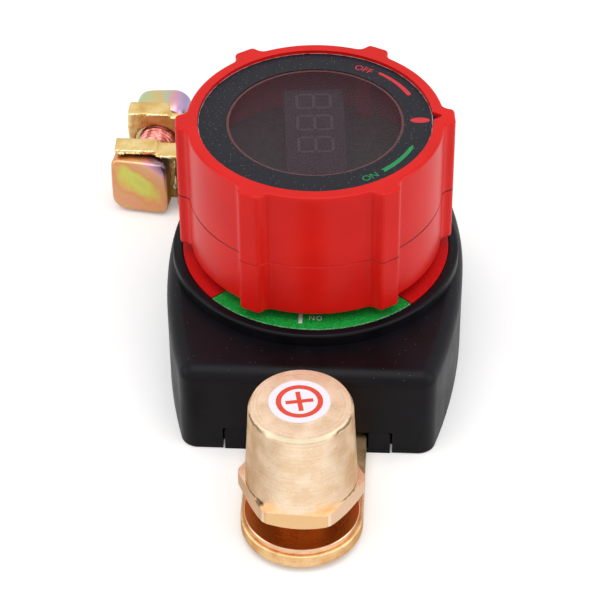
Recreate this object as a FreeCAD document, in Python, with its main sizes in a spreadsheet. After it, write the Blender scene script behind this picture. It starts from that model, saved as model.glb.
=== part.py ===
import FreeCAD, Part
import math
import os
import Sketcher

# Battery disconnect switch with a rotary knob and a voltage read-out in the knob.
# Frame: the origin is on the knob's axis in the plane that the housing rests on,
# +Z points up through the knob, -Y to the terminal post, +Y to the battery clamp.
# The switch stands at OFF: the contact bridge lies across, clear of both contacts.

doc = FreeCAD.newDocument("battery_disconnect_switch")
sheet = doc.addObject("Spreadsheet::Sheet", "sizes")
parts = []


# Sizes that know their value and their formula in the sheet
class Size:
    def __init__(self, value, text):
        self.value = value
        self.text = text

    def __add__(self, other):
        return Size(self.value + as_size(other).value, f"({self.text} + {as_size(other).text})")

    def __radd__(self, other):
        return as_size(other) + self

    def __sub__(self, other):
        return Size(self.value - as_size(other).value, f"({self.text} - {as_size(other).text})")

    def __rsub__(self, other):
        return as_size(other) - self

    def __mul__(self, other):
        return Size(self.value * as_size(other).value, f"({self.text} * {as_size(other).text})")

    def __rmul__(self, other):
        return as_size(other) * self

    def __truediv__(self, other):
        return Size(self.value / as_size(other).value, f"({self.text} / {as_size(other).text})")

    def __neg__(self):
        return 0.0 - self


def as_size(number):
    if isinstance(number, Size):
        return number
    return Size(float(number), repr(float(number)))


def sine(angle):
    angle = as_size(angle)
    return Size(math.sin(math.radians(angle.value)), f"sin({angle.text} * 1 deg)")


def cosine(angle):
    angle = as_size(angle)
    return Size(math.cos(math.radians(angle.value)), f"cos({angle.text} * 1 deg)")


def root(number):
    return Size(math.sqrt(number.value), f"sqrt({number.text})")


def size(name, value):
    """Write one driving dimension into the sheet and return it as a Size."""
    row = size.row = getattr(size, "row", 0) + 1
    sheet.set(f"A{row}", name)
    sheet.set(f"B{row}", str(value))
    sheet.setAlias(f"B{row}", name)
    return Size(float(value), f"sizes.{name}")


# Switching mechanism: everything round it follows from the rotor's flange
running = size("running_clearance", 0.05)
air = size("moving_clearance", 0.3)
flange_r = size("rotor_flange_radius", 17.2)
flange_thick = size("rotor_flange_thickness", 5.0)
chamber_gap = size("rotor_chamber_clearance", 1.0)
chamber_belt = size("belt_round_rotor_chamber", 8.8)
dome_r = flange_r + chamber_gap
body_r = dome_r + chamber_belt

# Straps, the same section in front and behind
strap_half = size("strap_half_width", 10.5)
strap_thick = size("strap_thickness", 2.5)
strap_edge = size("strap_edge_rounding", 0.3)
strap_inner_y = size("strap_contact_end", 9.0)
peg_r = size("locating_peg_radius", 2.4)
peg_gap = size("locating_peg_clearance", 0.1)
front_peg_y = dome_r + size("front_peg_beyond_chamber", 5.8)
rear_peg_y = dome_r + size("rear_peg_beyond_chamber", 3.3)

# Base cover, its lugs, bosses and screws
cover_thick = size("cover_thickness", 1.2)
cover_gap = size("cover_clearance", 0.15)
lug_gap_top = size("cover_lug_top_clearance", 0.05)
island_gap = size("contact_island_to_strap", 0.4)
island_edge = size("contact_island_beyond_bridge", 1.0)
strap_gap = size("strap_opening_clearance", 0.3)
lug_wide = size("cover_lug_width", 3.85)
lug_corner = size("cover_lug_corner_chamfer", 0.45)
lug_foot = size("cover_lug_foot_length", 4.35)
slit = size("cover_slit", 0.35)
boss_r = size("screw_boss_radius", 3.0)
screw_r = size("cover_screw_radius", 1.25)
screw_gap = size("cover_screw_clearance", 0.2)
screw_length = size("cover_screw_length", 8.0)
screw_room = size("cover_screw_hole_beyond_tip", 1.0)
screw_head_r = size("cover_screw_head_radius", 2.3)
screw_head_gap = size("cover_screw_head_clearance", 0.1)
screw_head_z = size("cover_screw_head_height", 0.9)
screw_socket_r = size("cover_screw_socket_radius", 0.87)
screw_socket_z = size("cover_screw_socket_depth", 0.45)
cut_half = strap_half + strap_gap
lug_half = cut_half + lug_wide
front_boss_x = lug_half + size("front_boss_beyond_lug", 1.15)
rear_boss_r = dome_r + size("rear_boss_beyond_chamber", 4.26)
rear_boss_turn = size("rear_boss_angle", 39.2)

# Housing: widest under the knob, with bowed sides and flat ends
nose = size("front_face_beyond_body", 6.6)
front_y = body_r + nose
front_half = front_boss_x + size("front_corner_beyond_boss", 6.1)
front_boss_y = front_y - size("front_boss_behind_face", 6.6)
rear_half = body_r - size("rear_corner_inside_body", 5.2)
front_corner_r = size("front_corner_radius", 3.2)
rear_corner_r = size("rear_corner_radius", 4.0)
foot_round = size("housing_foot_rounding", 0.3)
shoulder_z = size("shoulder_height", 18.2)
shoulder_round = size("shoulder_rounding", 2.6)
wall = size("housing_wall", 2.2)
roof = size("housing_roof", 3.0)
collar_r = body_r - size("collar_step", 0.9)
label_r = collar_r - size("collar_rim_width", 1.9)
collar_top = shoulder_z + size("collar_rise", 2.4)
collar_round = size("collar_rounding", 0.5)
collar_inner_round = size("collar_inner_rounding", 0.25)
collar_foot = size("collar_foot_depth", 6.0)
label_seat_z = collar_top - size("label_depth_in_collar", 0.4)
label_thick = size("label_thickness", 0.3)
label_gap = size("label_edge_clearance", 0.1)
dome_z = label_seat_z - size("chamber_roof_thickness", 3.0)
lap = size("overlap_of_joined_forms", 0.5)

# Feed rings and pins that carry the battery voltage to the display, and the seal
shaft_r = size("rotor_shaft_radius", 6.0)
seal_wide = size("seal_width", 1.85)
seal_lip = size("seal_squeeze_room", 0.15)
seal_deep = size("seal_seat_depth", 1.8)
seal_r = shaft_r + seal_lip + seal_wide
feed_ring_wide = size("feed_ring_width", 1.5)
feed_space = size("feed_ring_space", 1.3)
inner_feed_r = seal_r + size("inner_feed_ring_beyond_seal", 2.4)
outer_feed_r = inner_feed_r + feed_ring_wide + feed_space
feed_thick = size("feed_ring_thickness", 0.4)
feed_pin_r = size("feed_pin_radius", 0.7)
feed_pin_tip = size("feed_pin_tip_chamfer", 0.28)
feed_tube_r = size("feed_tube_radius", 1.7)
feed_gap = size("feed_pin_clearance", 0.05)
label_hole_r = outer_feed_r + feed_ring_wide + feed_space

# Knob in two mouldings, standing a little past the OFF dimple
knob_rest = size("knob_rest_angle", 4.5)
knob_r = size("knob_radius", 22.75)
rib_count = 6
rib_half = size("knob_rib_tip_half_width", 1.9)
rib_foot_half = rib_half + size("knob_rib_foot_flare", 1.15)
rib_root_r = size("knob_rib_root_radius", 1.6)
rib_tip_r = size("knob_rib_tip_radius", 0.9)
rib_r = knob_r + size("knob_rib_height", 1.85)
knob_wall = size("knob_wall", 2.3)
knob_z = collar_top + size("knob_to_collar_gap", 1.9)
parting_z = knob_z + size("knob_lower_height", 10.95)
rim_z = parting_z + size("knob_upper_height", 15.05)
rim_round = size("knob_rim_rounding", 0.5)
knob_foot_round = size("knob_foot_rounding", 0.6)
parting_bevel = size("knob_parting_chamfer", 0.15)
face_r = knob_r - size("knob_rim_width", 2.15)
face_drop = size("face_depth_below_rim", 0.6)
film_thick = size("film_thickness", 0.2)
lens_thick = size("lens_thickness", 1.5)
ledge_r = face_r - size("lens_ledge_width", 2.0)
ledge_thick = size("lens_ledge_thickness", 1.4)
window_r = face_r - size("printed_border_width", 4.95)
pointer_r = knob_r - size("pointer_tip_inside_knob", 0.7)
pointer_half = size("pointer_foot_half_width", 1.7)
pointer_root = size("pointer_root_overlap", 1.0)
notch_gap = size("pointer_notch_clearance", 0.2)
notch_tip = size("pointer_notch_tip_half_width", 0.15)
edge_gap = size("face_edge_clearance", 0.1)
skirt_floor = size("knob_floor_thickness", 2.4)
floor_z = knob_z + size("knob_floor_recess", 0.7)
hub_wall = size("knob_hub_wall", 2.5)
skirt_r = knob_r - size("knob_skirt_inside_knob", 3.4)
skirt_wall = size("knob_skirt_wall", 1.4)
skirt_z = label_seat_z + label_thick + size("knob_skirt_clearance", 0.5)
spigot_wall = size("spigot_wall", 1.6)
spigot_gap = size("spigot_clearance", 0.08)

# Circuit board and display
board_thick = size("board_thickness", 1.6)
board_gap = size("board_edge_clearance", 0.2)
display_high = size("display_height", 8.9)
display_long = size("display_length", 24.6)
display_wide = size("display_width", 10.6)
display_gap = size("display_to_lens_clearance", 0.5)
press_rib_wide = size("board_press_rib_width", 3.0)

# Rotor, contact bridge and detent
hub_r = size("rotor_hub_radius", 10.2)
hub_lift = size("rotor_hub_above_straps", 0.6)
drive_half = size("rotor_drive_half_width", 3.6)
drive_gap = size("rotor_drive_clearance", 0.05)
drive_end_gap = size("rotor_drive_end_clearance", 0.1)
bridge_half = size("bridge_half_length", 15.2)
bridge_wide = size("bridge_width", 8.0)
bridge_thick = size("bridge_thickness", 2.0)
bridge_gap = size("bridge_slot_clearance", 0.1)
bridge_room = size("bridge_lift_room", 1.6)
spring_pocket_r = size("spring_pocket_radius", 4.7)
spring_length = size("pressure_spring_length", 5.7)
spring_wire = size("pressure_spring_wire_radius", 0.45)
spring_coil_r = size("pressure_spring_coil_radius", 3.9)
ball_r = size("detent_ball_radius", 1.75)
ball_ring_r = flange_r - size("detent_ring_inside_flange", 3.8)
ball_sink = size("detent_track_depth", 0.8)
dimple = size("detent_dimple_depth", 0.35)
pocket_gap = size("detent_pocket_clearance", 0.1)
pocket_floor = size("detent_pocket_floor", 0.8)
detent_wire = size("detent_spring_wire_radius", 0.2)
detent_coil_r = size("detent_spring_coil_radius", 1.05)
turn_range = size("knob_turn_range", 94.5)
stop_at = size("stop_lug_angle", 47.0)
stop_half = size("stop_lug_half_angle", 9.0)
stop_slack = size("stop_slack_angle", 0.5)
stop_r = ball_ring_r + ball_r + pocket_gap + size("stop_lug_outside_track", 0.2)
stop_high = size("stop_lug_height", 2.6)

# Fixing of the knob on the rotor
centre_washer_r = size("centre_washer_radius", 6.6)
centre_washer_thick = size("centre_washer_thickness", 0.8)
centre_screw_r = size("centre_screw_radius", 2.0)
centre_screw_long = size("centre_screw_length", 11.0)
centre_hole_room = size("centre_hole_beyond_screw", 1.0)
centre_head_r = size("centre_screw_head_radius", 3.8)
centre_head_z = size("centre_screw_head_height", 2.6)
centre_head_bevel = size("centre_screw_head_chamfer", 0.8)
centre_socket_r = size("centre_screw_socket_radius", 1.4)
centre_socket_z = size("centre_screw_socket_depth", 1.56)

# Stud, washer and terminal post in front
post_y = front_y + size("post_beyond_front_face", 19.0)
stud_r = size("stud_radius", 4.0)
stud_collar_r = size("stud_rivet_radius", 4.8)
stud_collar_z = size("stud_rivet_height", 1.25)
stud_length = size("stud_height_above_strap", 14.5)
stud_bevel = size("stud_end_chamfer", 0.8)
washer_r = strap_half - size("strap_beyond_washer", 0.6)
washer_thick = size("washer_thickness", 1.2)
washer_gap = size("washer_hole_clearance", 0.25)
washer_bevel = size("washer_edge_chamfer", 0.15)
lug_gap = size("lug_gap", 4.6)
hex_flat = size("hex_across_flats", 19.1)
hex_corner_r = hex_flat / math.sqrt(3.0) - size("hex_corner_turned_off", 0.28)
hex_high = size("hex_height", 3.5)
hex_bevel = size("hex_chamfer_height", 0.9)
hex_foot = size("hex_chamfer_inside_flats", 0.15)
hex_turn = size("hex_turn_angle", 57.2)
post_top_r = size("post_top_radius", 8.75)
post_base_r = hex_flat / 2
post_high = size("post_cone_height", 16.2)
post_edge = size("post_edge_chamfer", 0.45)
post_edge_z = size("post_edge_depth", 0.9)
thread_gap = size("thread_clearance", 0.05)
bore_room = size("post_bore_beyond_stud", 1.2)
bore_tip = size("post_bore_cone_height", 2.0)
sticker_r = size("sticker_radius", 5.1)
sticker_left = size("sticker_left_of_centre", 0.25)
sticker_behind = size("sticker_behind_centre", 0.5)
sticker_thick = size("sticker_thickness", 0.12)

# Battery clamp, its bolt and nut
ring_x = size("clamp_ring_offset", 6.0)
ring_r = size("clamp_ring_radius", 13.5)
ring_y = body_r + size("clamp_ring_to_housing", 2.4) + ring_r
ring_top_r = size("clamp_bore_top_radius", 8.72)
ring_low_r = size("clamp_bore_low_radius", 9.5)
split = size("clamp_split", 7.7)
ear_thick = size("ear_thickness", 2.1)
ear_floor = size("ear_bottom_height", 0.4)
ear_lip = size("ear_lip_overhang", 2.3)
ear_lip_z = size("ear_lip_thickness", 1.25)
ear_lip_long = size("ear_lip_length", 8.5)
ear_corner_r = size("ear_corner_radius", 0.9)
root_thick = size("ear_root_thickness", 5.2)
root_flare = size("ear_root_flare_length", 6.0)
root_flare_deep = size("ear_root_flare_depth", 1.2)
root_drop = size("ear_root_below_top", 0.7)
cast_lap = size("casting_overlap", 1.0)
head_wide = size("bolt_head_width", 11.2)
head_tall = size("bolt_head_height", 12.1)
head_thick = size("bolt_head_thickness", 4.0)
head_round = size("bolt_head_corner_radius", 1.8)
head_crown = size("bolt_head_edge_radius", 0.8)
nut_thick = size("clamp_nut_thickness", 7.6)
nut_round = size("clamp_nut_corner_radius", 3.0)
nut_crown = size("clamp_nut_edge_radius", 0.88)
bolt_r = size("bolt_radius", 3.8)
bolt_bevel = size("bolt_end_chamfer", 0.76)
bolt_hole_r = bolt_r + size("bolt_hole_clearance", 0.6)
bolt_turn = size("bolt_skew_angle", 8.5)
seat_gap = size("bolt_seat_clearance", 1.0)
bolt_tail = size("bolt_end_beyond_nut", 1.2)
bolt_z = head_tall / 2 + size("bolt_head_above_base", 0.45)
ring_high = bolt_z + head_tall / 2 + size("lip_above_bolt_head", 0.15) + ear_lip_z
seat_y = split / 2 + ear_thick + seat_gap
root_x = ring_x + ring_r + size("ear_root_beyond_ring", 9.7)
bolt_x = root_x + head_wide / 2 + size("bolt_head_to_root", 1.1) - seat_y * sine(bolt_turn)
rear_root_x = (bolt_x - head_wide / 2 - (seat_y + nut_thick) * sine(bolt_turn)
               - size("clamp_nut_to_root", 0.8))
front_ear_x = bolt_x + size("front_ear_beyond_bolt", 6.4)
rear_ear_x = bolt_x + size("rear_ear_beyond_bolt", 5.1)
doc.recompute()

# Levels that follow from the sizes
strap_low = cover_thick
strap_top = cover_thick + strap_thick
cut_z = strap_top + size("lug_height_above_straps", 1.17)
washer_top = strap_top + washer_thick
hex_low = washer_top + lug_gap
hex_top = hex_low + hex_high
post_top = hex_top + post_high
bore_depth = stud_length - washer_thick + bore_room
face_z = rim_z - face_drop
lens_top = face_z - film_thick
lens_low = lens_top - lens_thick
inner_r = knob_r - knob_wall
board_z = lens_low - display_gap - display_high
board_low = board_z - board_thick
floor_top = floor_z + skirt_floor
flange_top = dome_z - air
flange_low = flange_top - flange_thick
spring_pocket_z = strap_top + bridge_thick + spring_length
ear_front_y = ring_y - split / 2
ear_rear_y = ring_y + split / 2
doc.recompute()


# Helpers for bound objects
def bind(thing, name, value):
    thing.setExpression(name, as_size(value).text)


def keep(thing, label):
    """Give a finished sub-part its own label and put it on the list to export."""
    thing.Label = label
    parts.append(thing)
    return thing


def place(thing, x=0.0, y=0.0, z=0.0):
    for axis, value in (("x", x), ("y", y), ("z", z)):
        bind(thing, f"Placement.Base.{axis}", value)
    return thing


def new_body(label):
    return keep(doc.addObject("PartDesign::Body", label), label)


def new_sketch(body, plane, height=0.0):
    """A sketch on one of the body's own origin planes, raised by height along its normal."""
    flat = next(item for item in body.Origin.OriginFeatures if item.Role == f"{plane}_Plane")
    sketch = body.newObject("Sketcher::SketchObject", f"{body.Name}_{plane}_sketch")
    sketch.AttachmentSupport = [(flat, "")]
    sketch.MapMode = "FlatFace"
    bind(sketch, "AttachmentOffset.Base.z", height)
    return sketch


def tie(sketch, kind, geometry, point, value):
    """Hold one point of the sketch at a bound distance from its origin."""
    number = as_size(value)
    row = sketch.addConstraint(Sketcher.Constraint(kind, -1, 1, geometry, point, number.value))
    sketch.setExpression(f"Constraints[{row}]", number.text)


def flat_point(point):
    return FreeCAD.Vector(as_size(point[0]).value, as_size(point[1]).value, 0)


def bowed(start, end, radius):
    """An arc from start to end that bulges to the right, or to the left if radius is negative."""
    way = end - start
    middle = (start + end) / 2
    sag = abs(radius) - math.sqrt(radius ** 2 - (way.Length / 2) ** 2)
    top = middle + FreeCAD.Vector(way.y, -way.x, 0).normalize() * math.copysign(sag, radius)
    return Part.Arc(start, top, end) if radius > 0 else Part.Arc(end, top, start)


def outline(sketch, points, bows=None):
    """A closed outline through points; bows gives the radius of an edge that is an arc.

    The points run counter-clockwise, so an arc with a negative radius is hollow.
    """
    bows = bows or {}
    spots = [flat_point(point) for point in points]
    count = len(points)
    edges = []
    for index in range(count):
        start, end = spots[index], spots[(index + 1) % count]
        if index in bows:
            edges.append(sketch.addGeometry(bowed(start, end, bows[index].value)))
        else:
            edges.append(sketch.addGeometry(Part.LineSegment(start, end)))
    ends = []
    for index in range(count):
        arc = sketch.Geometry[edges[index]]
        turned_round = index in bows and arc.StartPoint.distanceToPoint(spots[index]) > 1e-6
        ends.append((2, 1) if turned_round else (1, 2))
    for index in range(count):
        after = (index + 1) % count
        sketch.addConstraint(Sketcher.Constraint(
            "Coincident", edges[index], ends[index][1], edges[after], ends[after][0]))
        tie(sketch, "DistanceX", edges[index], ends[index][0], points[index][0])
        tie(sketch, "DistanceY", edges[index], ends[index][0], points[index][1])
        if index in bows:
            bow = bows[index] if bows[index].value > 0 else -bows[index]
            row = sketch.addConstraint(Sketcher.Constraint("Radius", edges[index], bow.value))
            sketch.setExpression(f"Constraints[{row}]", bow.text)


def ring_outline(sketch, radius, x=0.0, y=0.0):
    circle = sketch.addGeometry(Part.Circle(
        flat_point((x, y)), FreeCAD.Vector(0, 0, 1), as_size(radius).value))
    tie(sketch, "DistanceX", circle, 3, x)
    tie(sketch, "DistanceY", circle, 3, y)
    row = sketch.addConstraint(
        Sketcher.Constraint("Radius", circle, as_size(radius).value))
    sketch.setExpression(f"Constraints[{row}]", as_size(radius).text)


def box_points(left, right, front, back):
    return [(left, front), (right, front), (right, back), (left, back)]


def polar(radius, angle):
    return (radius * cosine(angle), radius * sine(angle))


def swung(point, angle):
    """A point given along and across a direction, as X and Y."""
    along, across = point
    return (along * cosine(angle) - across * sine(angle),
            along * sine(angle) + across * cosine(angle))


def sector(inner, outer, start, end):
    """The outline and arcs of a piece of a ring between two angles."""
    points = [polar(inner, start), polar(outer, start), polar(outer, end), polar(inner, end)]
    return points, {1: outer, 3: -inner}


def feature(body, kind, sketch, length, upward=True):
    """A pad or pocket that runs from its sketch upward or downward along the normal."""
    item = body.newObject(f"PartDesign::{kind}", f"{body.Name}_{kind}")
    item.Profile = sketch
    bind(item, "Length", length)
    item.Reversed = upward if kind == "Pocket" else not upward
    sketch.Visibility = False
    doc.recompute()
    return item


def pad(body, low, high, points, bows=None):
    sketch = new_sketch(body, "XY", low)
    outline(sketch, points, bows)
    return feature(body, "Pad", sketch, as_size(high) - low)


def pad_round(body, low, high, radius, x=0.0, y=0.0):
    sketch = new_sketch(body, "XY", low)
    ring_outline(sketch, radius, x, y)
    return feature(body, "Pad", sketch, as_size(high) - low)


def pocket(body, low, high, points, bows=None):
    sketch = new_sketch(body, "XY", low)
    outline(sketch, points, bows)
    return feature(body, "Pocket", sketch, as_size(high) - low)


def pocket_round(body, low, high, radius, spots=((0.0, 0.0),)):
    sketch = new_sketch(body, "XY", low)
    for x, y in spots:
        ring_outline(sketch, radius, x, y)
    return feature(body, "Pocket", sketch, as_size(high) - low)


def spin(body, kind, points):
    """A revolution or groove about the body's Z axis of an outline in radius and height."""
    sketch = new_sketch(body, "XZ")
    outline(sketch, points)
    item = body.newObject(f"PartDesign::{kind}", f"{body.Name}_{kind}")
    item.Profile = sketch
    item.ReferenceAxis = (sketch, ["V_Axis"])
    item.Angle = 360
    sketch.Visibility = False
    doc.recompute()
    return item


def turned(label, points, **where):
    """A sub-part turned about its own vertical axis."""
    body = new_body(label)
    spin(body, "Revolution", points)
    return place(body, **where)


def round_edges(body, kind, amount, wanted):
    """Fillet or chamfer every edge of the body's last feature that the test picks."""
    base = body.Tip
    names = [f"Edge{number}" for number, edge in enumerate(base.Shape.Edges, 1) if wanted(edge)]
    if not names:
        raise RuntimeError(f"{body.Name}: no edge to {kind}")
    item = body.newObject(f"PartDesign::{kind}", f"{body.Name}_{kind}")
    item.Base = (base, names)
    bind(item, "Radius" if kind == "Fillet" else "Size", amount)
    doc.recompute()
    return item


def level(edge, height):
    """Whether an edge lies flat at one height."""
    box = edge.BoundBox
    return abs(box.ZMin - as_size(height).value) < 1e-4 and box.ZLength < 1e-4


def upright(edge, x, y):
    box = edge.BoundBox
    near = abs(box.Center.x - as_size(x).value) + abs(box.Center.y - as_size(y).value)
    return near < 0.02 and box.ZLength > 0.5


def along_y(edge, x, z):
    """Whether an edge runs straight along Y at one place."""
    box = edge.BoundBox
    near = abs(box.Center.x - as_size(x).value) + abs(box.Center.z - as_size(z).value)
    return near < 0.02 and box.XLength + box.ZLength < 1e-4


def cylinder(name, radius, low, high, x=0.0, y=0.0):
    item = doc.addObject("Part::Cylinder", name)
    bind(item, "Radius", radius)
    bind(item, "Height", as_size(high) - low)
    return place(item, x, y, low)


def sphere(name, radius, x, y, z):
    item = doc.addObject("Part::Sphere", name)
    bind(item, "Radius", radius)
    return place(item, x, y, z)


def ring_section(inner, outer, low, high):
    return [(inner, low), (outer, low), (outer, high), (inner, high)]


def joined(label, pieces):
    item = doc.addObject("Part::MultiFuse", label)
    item.Shapes = pieces
    return item


def less(label, base, cutter):
    item = doc.addObject("Part::Cut", label)
    item.Base = base
    item.Tool = cutter
    return item


# Outlines shared by the housing and the base cover
def side_bow(length, narrowing):
    """The radius of a side that leaves the widest place along Y and narrows over a length."""
    return (length * length + narrowing * narrowing) / (narrowing * 2)


def plan(inset):
    """The points and arcs of the plan: bowed sides, a flat front and a flat rear."""
    side = body_r - inset
    face = front_y - inset
    front = front_half - inset
    rear = rear_half - inset
    points = [(-side, 0.0), (-front, -face), (front, -face), (side, 0.0), (rear, side),
              (-rear, side)]
    front_bow = side_bow(face, side - front)
    rear_bow = side_bow(side, side - rear)
    return points, {0: front_bow, 2: front_bow, 3: rear_bow, 5: rear_bow}


def boss_spots():
    rear_x, rear_y = polar(rear_boss_r, rear_boss_turn)
    return [(-front_boss_x, -front_boss_y), (front_boss_x, -front_boss_y),
            (-rear_x, rear_y), (rear_x, rear_y)]


# Housing: one moulding, open below
def housing():
    body = new_body("housing")
    pad(body, 0.0, shoulder_z, *plan(0.0))
    for side in (-1, 1):
        round_edges(body, "Fillet", front_corner_r,
                    lambda edge: upright(edge, front_half * side, -front_y))
        round_edges(body, "Fillet", rear_corner_r,
                    lambda edge: upright(edge, rear_half * side, body_r))
    round_edges(body, "Fillet", shoulder_round, lambda edge: level(edge, shoulder_z))
    round_edges(body, "Fillet", foot_round, lambda edge: level(edge, 0.0))
    pad_round(body, shoulder_z - collar_foot, collar_top, collar_r)
    pocket_round(body, label_seat_z, collar_top, label_r + label_gap)
    middle_r = (collar_r + label_r).value / 2
    round_edges(body, "Fillet", collar_round,
                lambda edge: level(edge, collar_top) and edge.BoundBox.XMax > middle_r)
    round_edges(body, "Fillet", collar_inner_round,
                lambda edge: level(edge, collar_top) and edge.BoundBox.XMax < middle_r)
    roof_z = shoulder_z - roof
    pocket(body, 0.0, roof_z, *plan(wall))
    pocket_round(body, 0.0, dome_z, dome_r)
    seat_z = label_seat_z - seal_deep
    bore = shaft_r + running
    spin(body, "Groove", [(0.0, dome_z - lap), (bore, dome_z - lap), (bore, seat_z),
                          (seal_r, seat_z), (seal_r, label_seat_z + lap),
                          (0.0, label_seat_z + lap)])
    for radius in (inner_feed_r, outer_feed_r):
        spin(body, "Groove", ring_section(radius, radius + feed_ring_wide,
                                          label_seat_z - feed_thick, label_seat_z + lap))
    notch = lug_half + slit
    pocket(body, 0.0, cut_z, box_points(-notch, notch, -front_y - lap, -front_y + wall + lap))
    pocket(body, 0.0, strap_top + air,
           box_points(-cut_half, cut_half, rear_boss_r, body_r + lap))
    for x, y in boss_spots():
        pad_round(body, cover_thick, roof_z + lap, boss_r, x, y)
    pocket_round(body, 0.0, screw_length + screw_room, screw_r, boss_spots())
    for y in (-front_peg_y, rear_peg_y):
        pad(body, strap_top, roof_z + lap,
            box_points(-cut_half + wall, cut_half - wall, y - wall / 2, y + wall / 2))
        pad_round(body, strap_low, roof_z + lap, peg_r, 0.0, y)
    lug, arcs = sector(stop_r, dome_r + lap, stop_at - stop_half, stop_at + stop_half)
    pad(body, dome_z - stop_high, dome_z + lap, lug, arcs)
    return body


def detent_track(shell):
    """The ball track and its four dimples, cut into the roof of the rotor chamber."""
    centre_z = dome_z + ball_sink - ball_r
    track = doc.addObject("Part::Torus", "ball_track")
    bind(track, "Radius1", ball_ring_r)
    bind(track, "Radius2", ball_r + pocket_gap)
    place(track, 0.0, 0.0, centre_z)
    dimples = []
    for quarter in range(4):
        x, y = polar(ball_ring_r, 90 * quarter)
        dimples.append(sphere(f"dimple_{quarter}", ball_r + pocket_gap, x, y, centre_z + dimple))
    return less("housing_with_track", shell, joined("detent_cutter", [track] + dimples))


def base_cover():
    """The insulating plate below the busbars, with the island that the bridge rests on."""
    body = new_body("base_cover")
    inset = wall + cover_gap
    pad(body, 0.0, cover_thick, *plan(inset))
    pad(body, 0.0, cover_thick,
        box_points(-lug_half, lug_half, -front_y, -front_y + lug_foot))
    for side in (-1, 1):
        edges = sorted([cut_half * side, lug_half * side], key=lambda item: item.value)
        pad(body, 0.0, cut_z - lug_gap_top,
            box_points(edges[0], edges[1], -front_y, -front_y + wall))
        round_edges(body, "Chamfer", lug_corner,
                    lambda edge: along_y(edge, lug_half * side, cut_z - lug_gap_top))
    island_x = bridge_half + island_edge
    island_y = strap_inner_y - island_gap
    pad(body, 0.0, strap_top, box_points(-island_x, island_x, -island_y, island_y))
    pocket_round(body, 0.0, cover_thick, screw_r + screw_gap, boss_spots())
    pocket_round(body, 0.0, screw_head_z, screw_head_r + screw_head_gap, boss_spots())
    return body


def cover_screws():
    """Four self-tapping screws with flat heads, driven from below."""
    screws = []
    for number, (x, y) in enumerate(boss_spots()):
        head = cylinder(f"cover_screw_head_{number}", screw_head_r, 0.0, screw_head_z, x, y)
        shank = cylinder(f"cover_screw_shank_{number}", screw_r, screw_socket_z,
                         screw_length, x, y)
        socket = cylinder(f"cover_screw_socket_{number}", screw_socket_r, -lap,
                          screw_socket_z, x, y)
        screws.append(less(f"cover_screw_{number}",
                           joined(f"cover_screw_solid_{number}", [head, shank]), socket))
    group = doc.addObject("Part::Compound", "cover_screws")
    group.Links = screws
    return keep(group, "cover_screws")


# Label ring, seal and feed rings on top of the housing
def top_rings():
    turned("label_ring", ring_section(label_hole_r, label_r, label_seat_z,
                                      label_seat_z + label_thick))
    low = label_seat_z - seal_deep
    inside = shaft_r + seal_lip
    bevel = seal_wide / 4
    turned("shaft_seal", [(inside, low + bevel), (inside + bevel, low), (seal_r - bevel, low),
                          (seal_r, low + bevel), (seal_r, low + seal_deep - bevel),
                          (seal_r - bevel, low + seal_deep),
                          (inside + bevel, low + seal_deep),
                          (inside, low + seal_deep - bevel)])
    for name, radius in (("inner_feed_ring", inner_feed_r), ("outer_feed_ring", outer_feed_r)):
        turned(name, ring_section(radius, radius + feed_ring_wide,
                                  label_seat_z - feed_thick, label_seat_z))


# Front strap with its round end, stud, washer and terminal post
def front_busbar():
    body = new_body("front_busbar")
    pad(body, strap_low, strap_top,
        box_points(-strap_half, strap_half, -post_y, -strap_inner_y))
    pad_round(body, strap_low, strap_top, strap_half, 0.0, -post_y)
    for edge_z in (strap_top, strap_low):
        round_edges(body, "Fillet", strap_edge, lambda edge: level(edge, edge_z))
    pocket_round(body, strap_low, strap_top, peg_r + peg_gap, [(0.0, -front_peg_y)])
    pocket_round(body, strap_low, strap_top, stud_r, [(0.0, -post_y)])
    pocket_round(body, strap_low, strap_low + stud_collar_z, stud_collar_r, [(0.0, -post_y)])
    return body


def stud_and_washer():
    height = strap_top + stud_length
    rivet_z = strap_low + stud_collar_z
    turned("terminal_stud", [(0.0, strap_low), (stud_collar_r, strap_low),
                             (stud_collar_r, rivet_z), (stud_r, rivet_z),
                             (stud_r, height - stud_bevel), (stud_r - stud_bevel, height),
                             (0.0, height)], y=-post_y)
    turned("post_washer", [(stud_r + washer_gap, strap_top), (washer_r - washer_bevel, strap_top),
                           (washer_r, strap_top + washer_bevel),
                           (washer_r, washer_top - washer_bevel),
                           (washer_r - washer_bevel, washer_top),
                           (stud_r + washer_gap, washer_top)], y=-post_y)


def terminal_post():
    """The tapered terminal with its hexagon, bored from below for the stud."""
    body = new_body("terminal_post")
    corner = hex_flat / math.sqrt(3.0)
    pad(body, 0.0, hex_high, [polar(corner, 60 * number) for number in range(6)])
    outside = corner + lap
    spin(body, "Groove", [(hex_flat / 2 - hex_foot, 0.0), (outside, 0.0), (outside, hex_high),
                          (hex_corner_r, hex_high), (hex_corner_r, hex_bevel)])
    spin(body, "Revolution", [(0.0, hex_high), (post_base_r, hex_high),
                              (post_top_r, hex_high + post_high - post_edge_z),
                              (post_top_r - post_edge, hex_high + post_high),
                              (0.0, hex_high + post_high)])
    bore = stud_r + thread_gap
    spin(body, "Groove", [(0.0, 0.0), (bore, 0.0), (bore, bore_depth),
                          (0.0, bore_depth + bore_tip)])
    bind(body, "Placement.Rotation.Angle", hex_turn)
    place(body, 0.0, -post_y, hex_low)
    turned("post_sticker", [(0.0, 0.0), (sticker_r, 0.0), (sticker_r, sticker_thick),
                            (0.0, sticker_thick)],
           x=-sticker_left, y=-post_y + sticker_behind, z=post_top)


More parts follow.
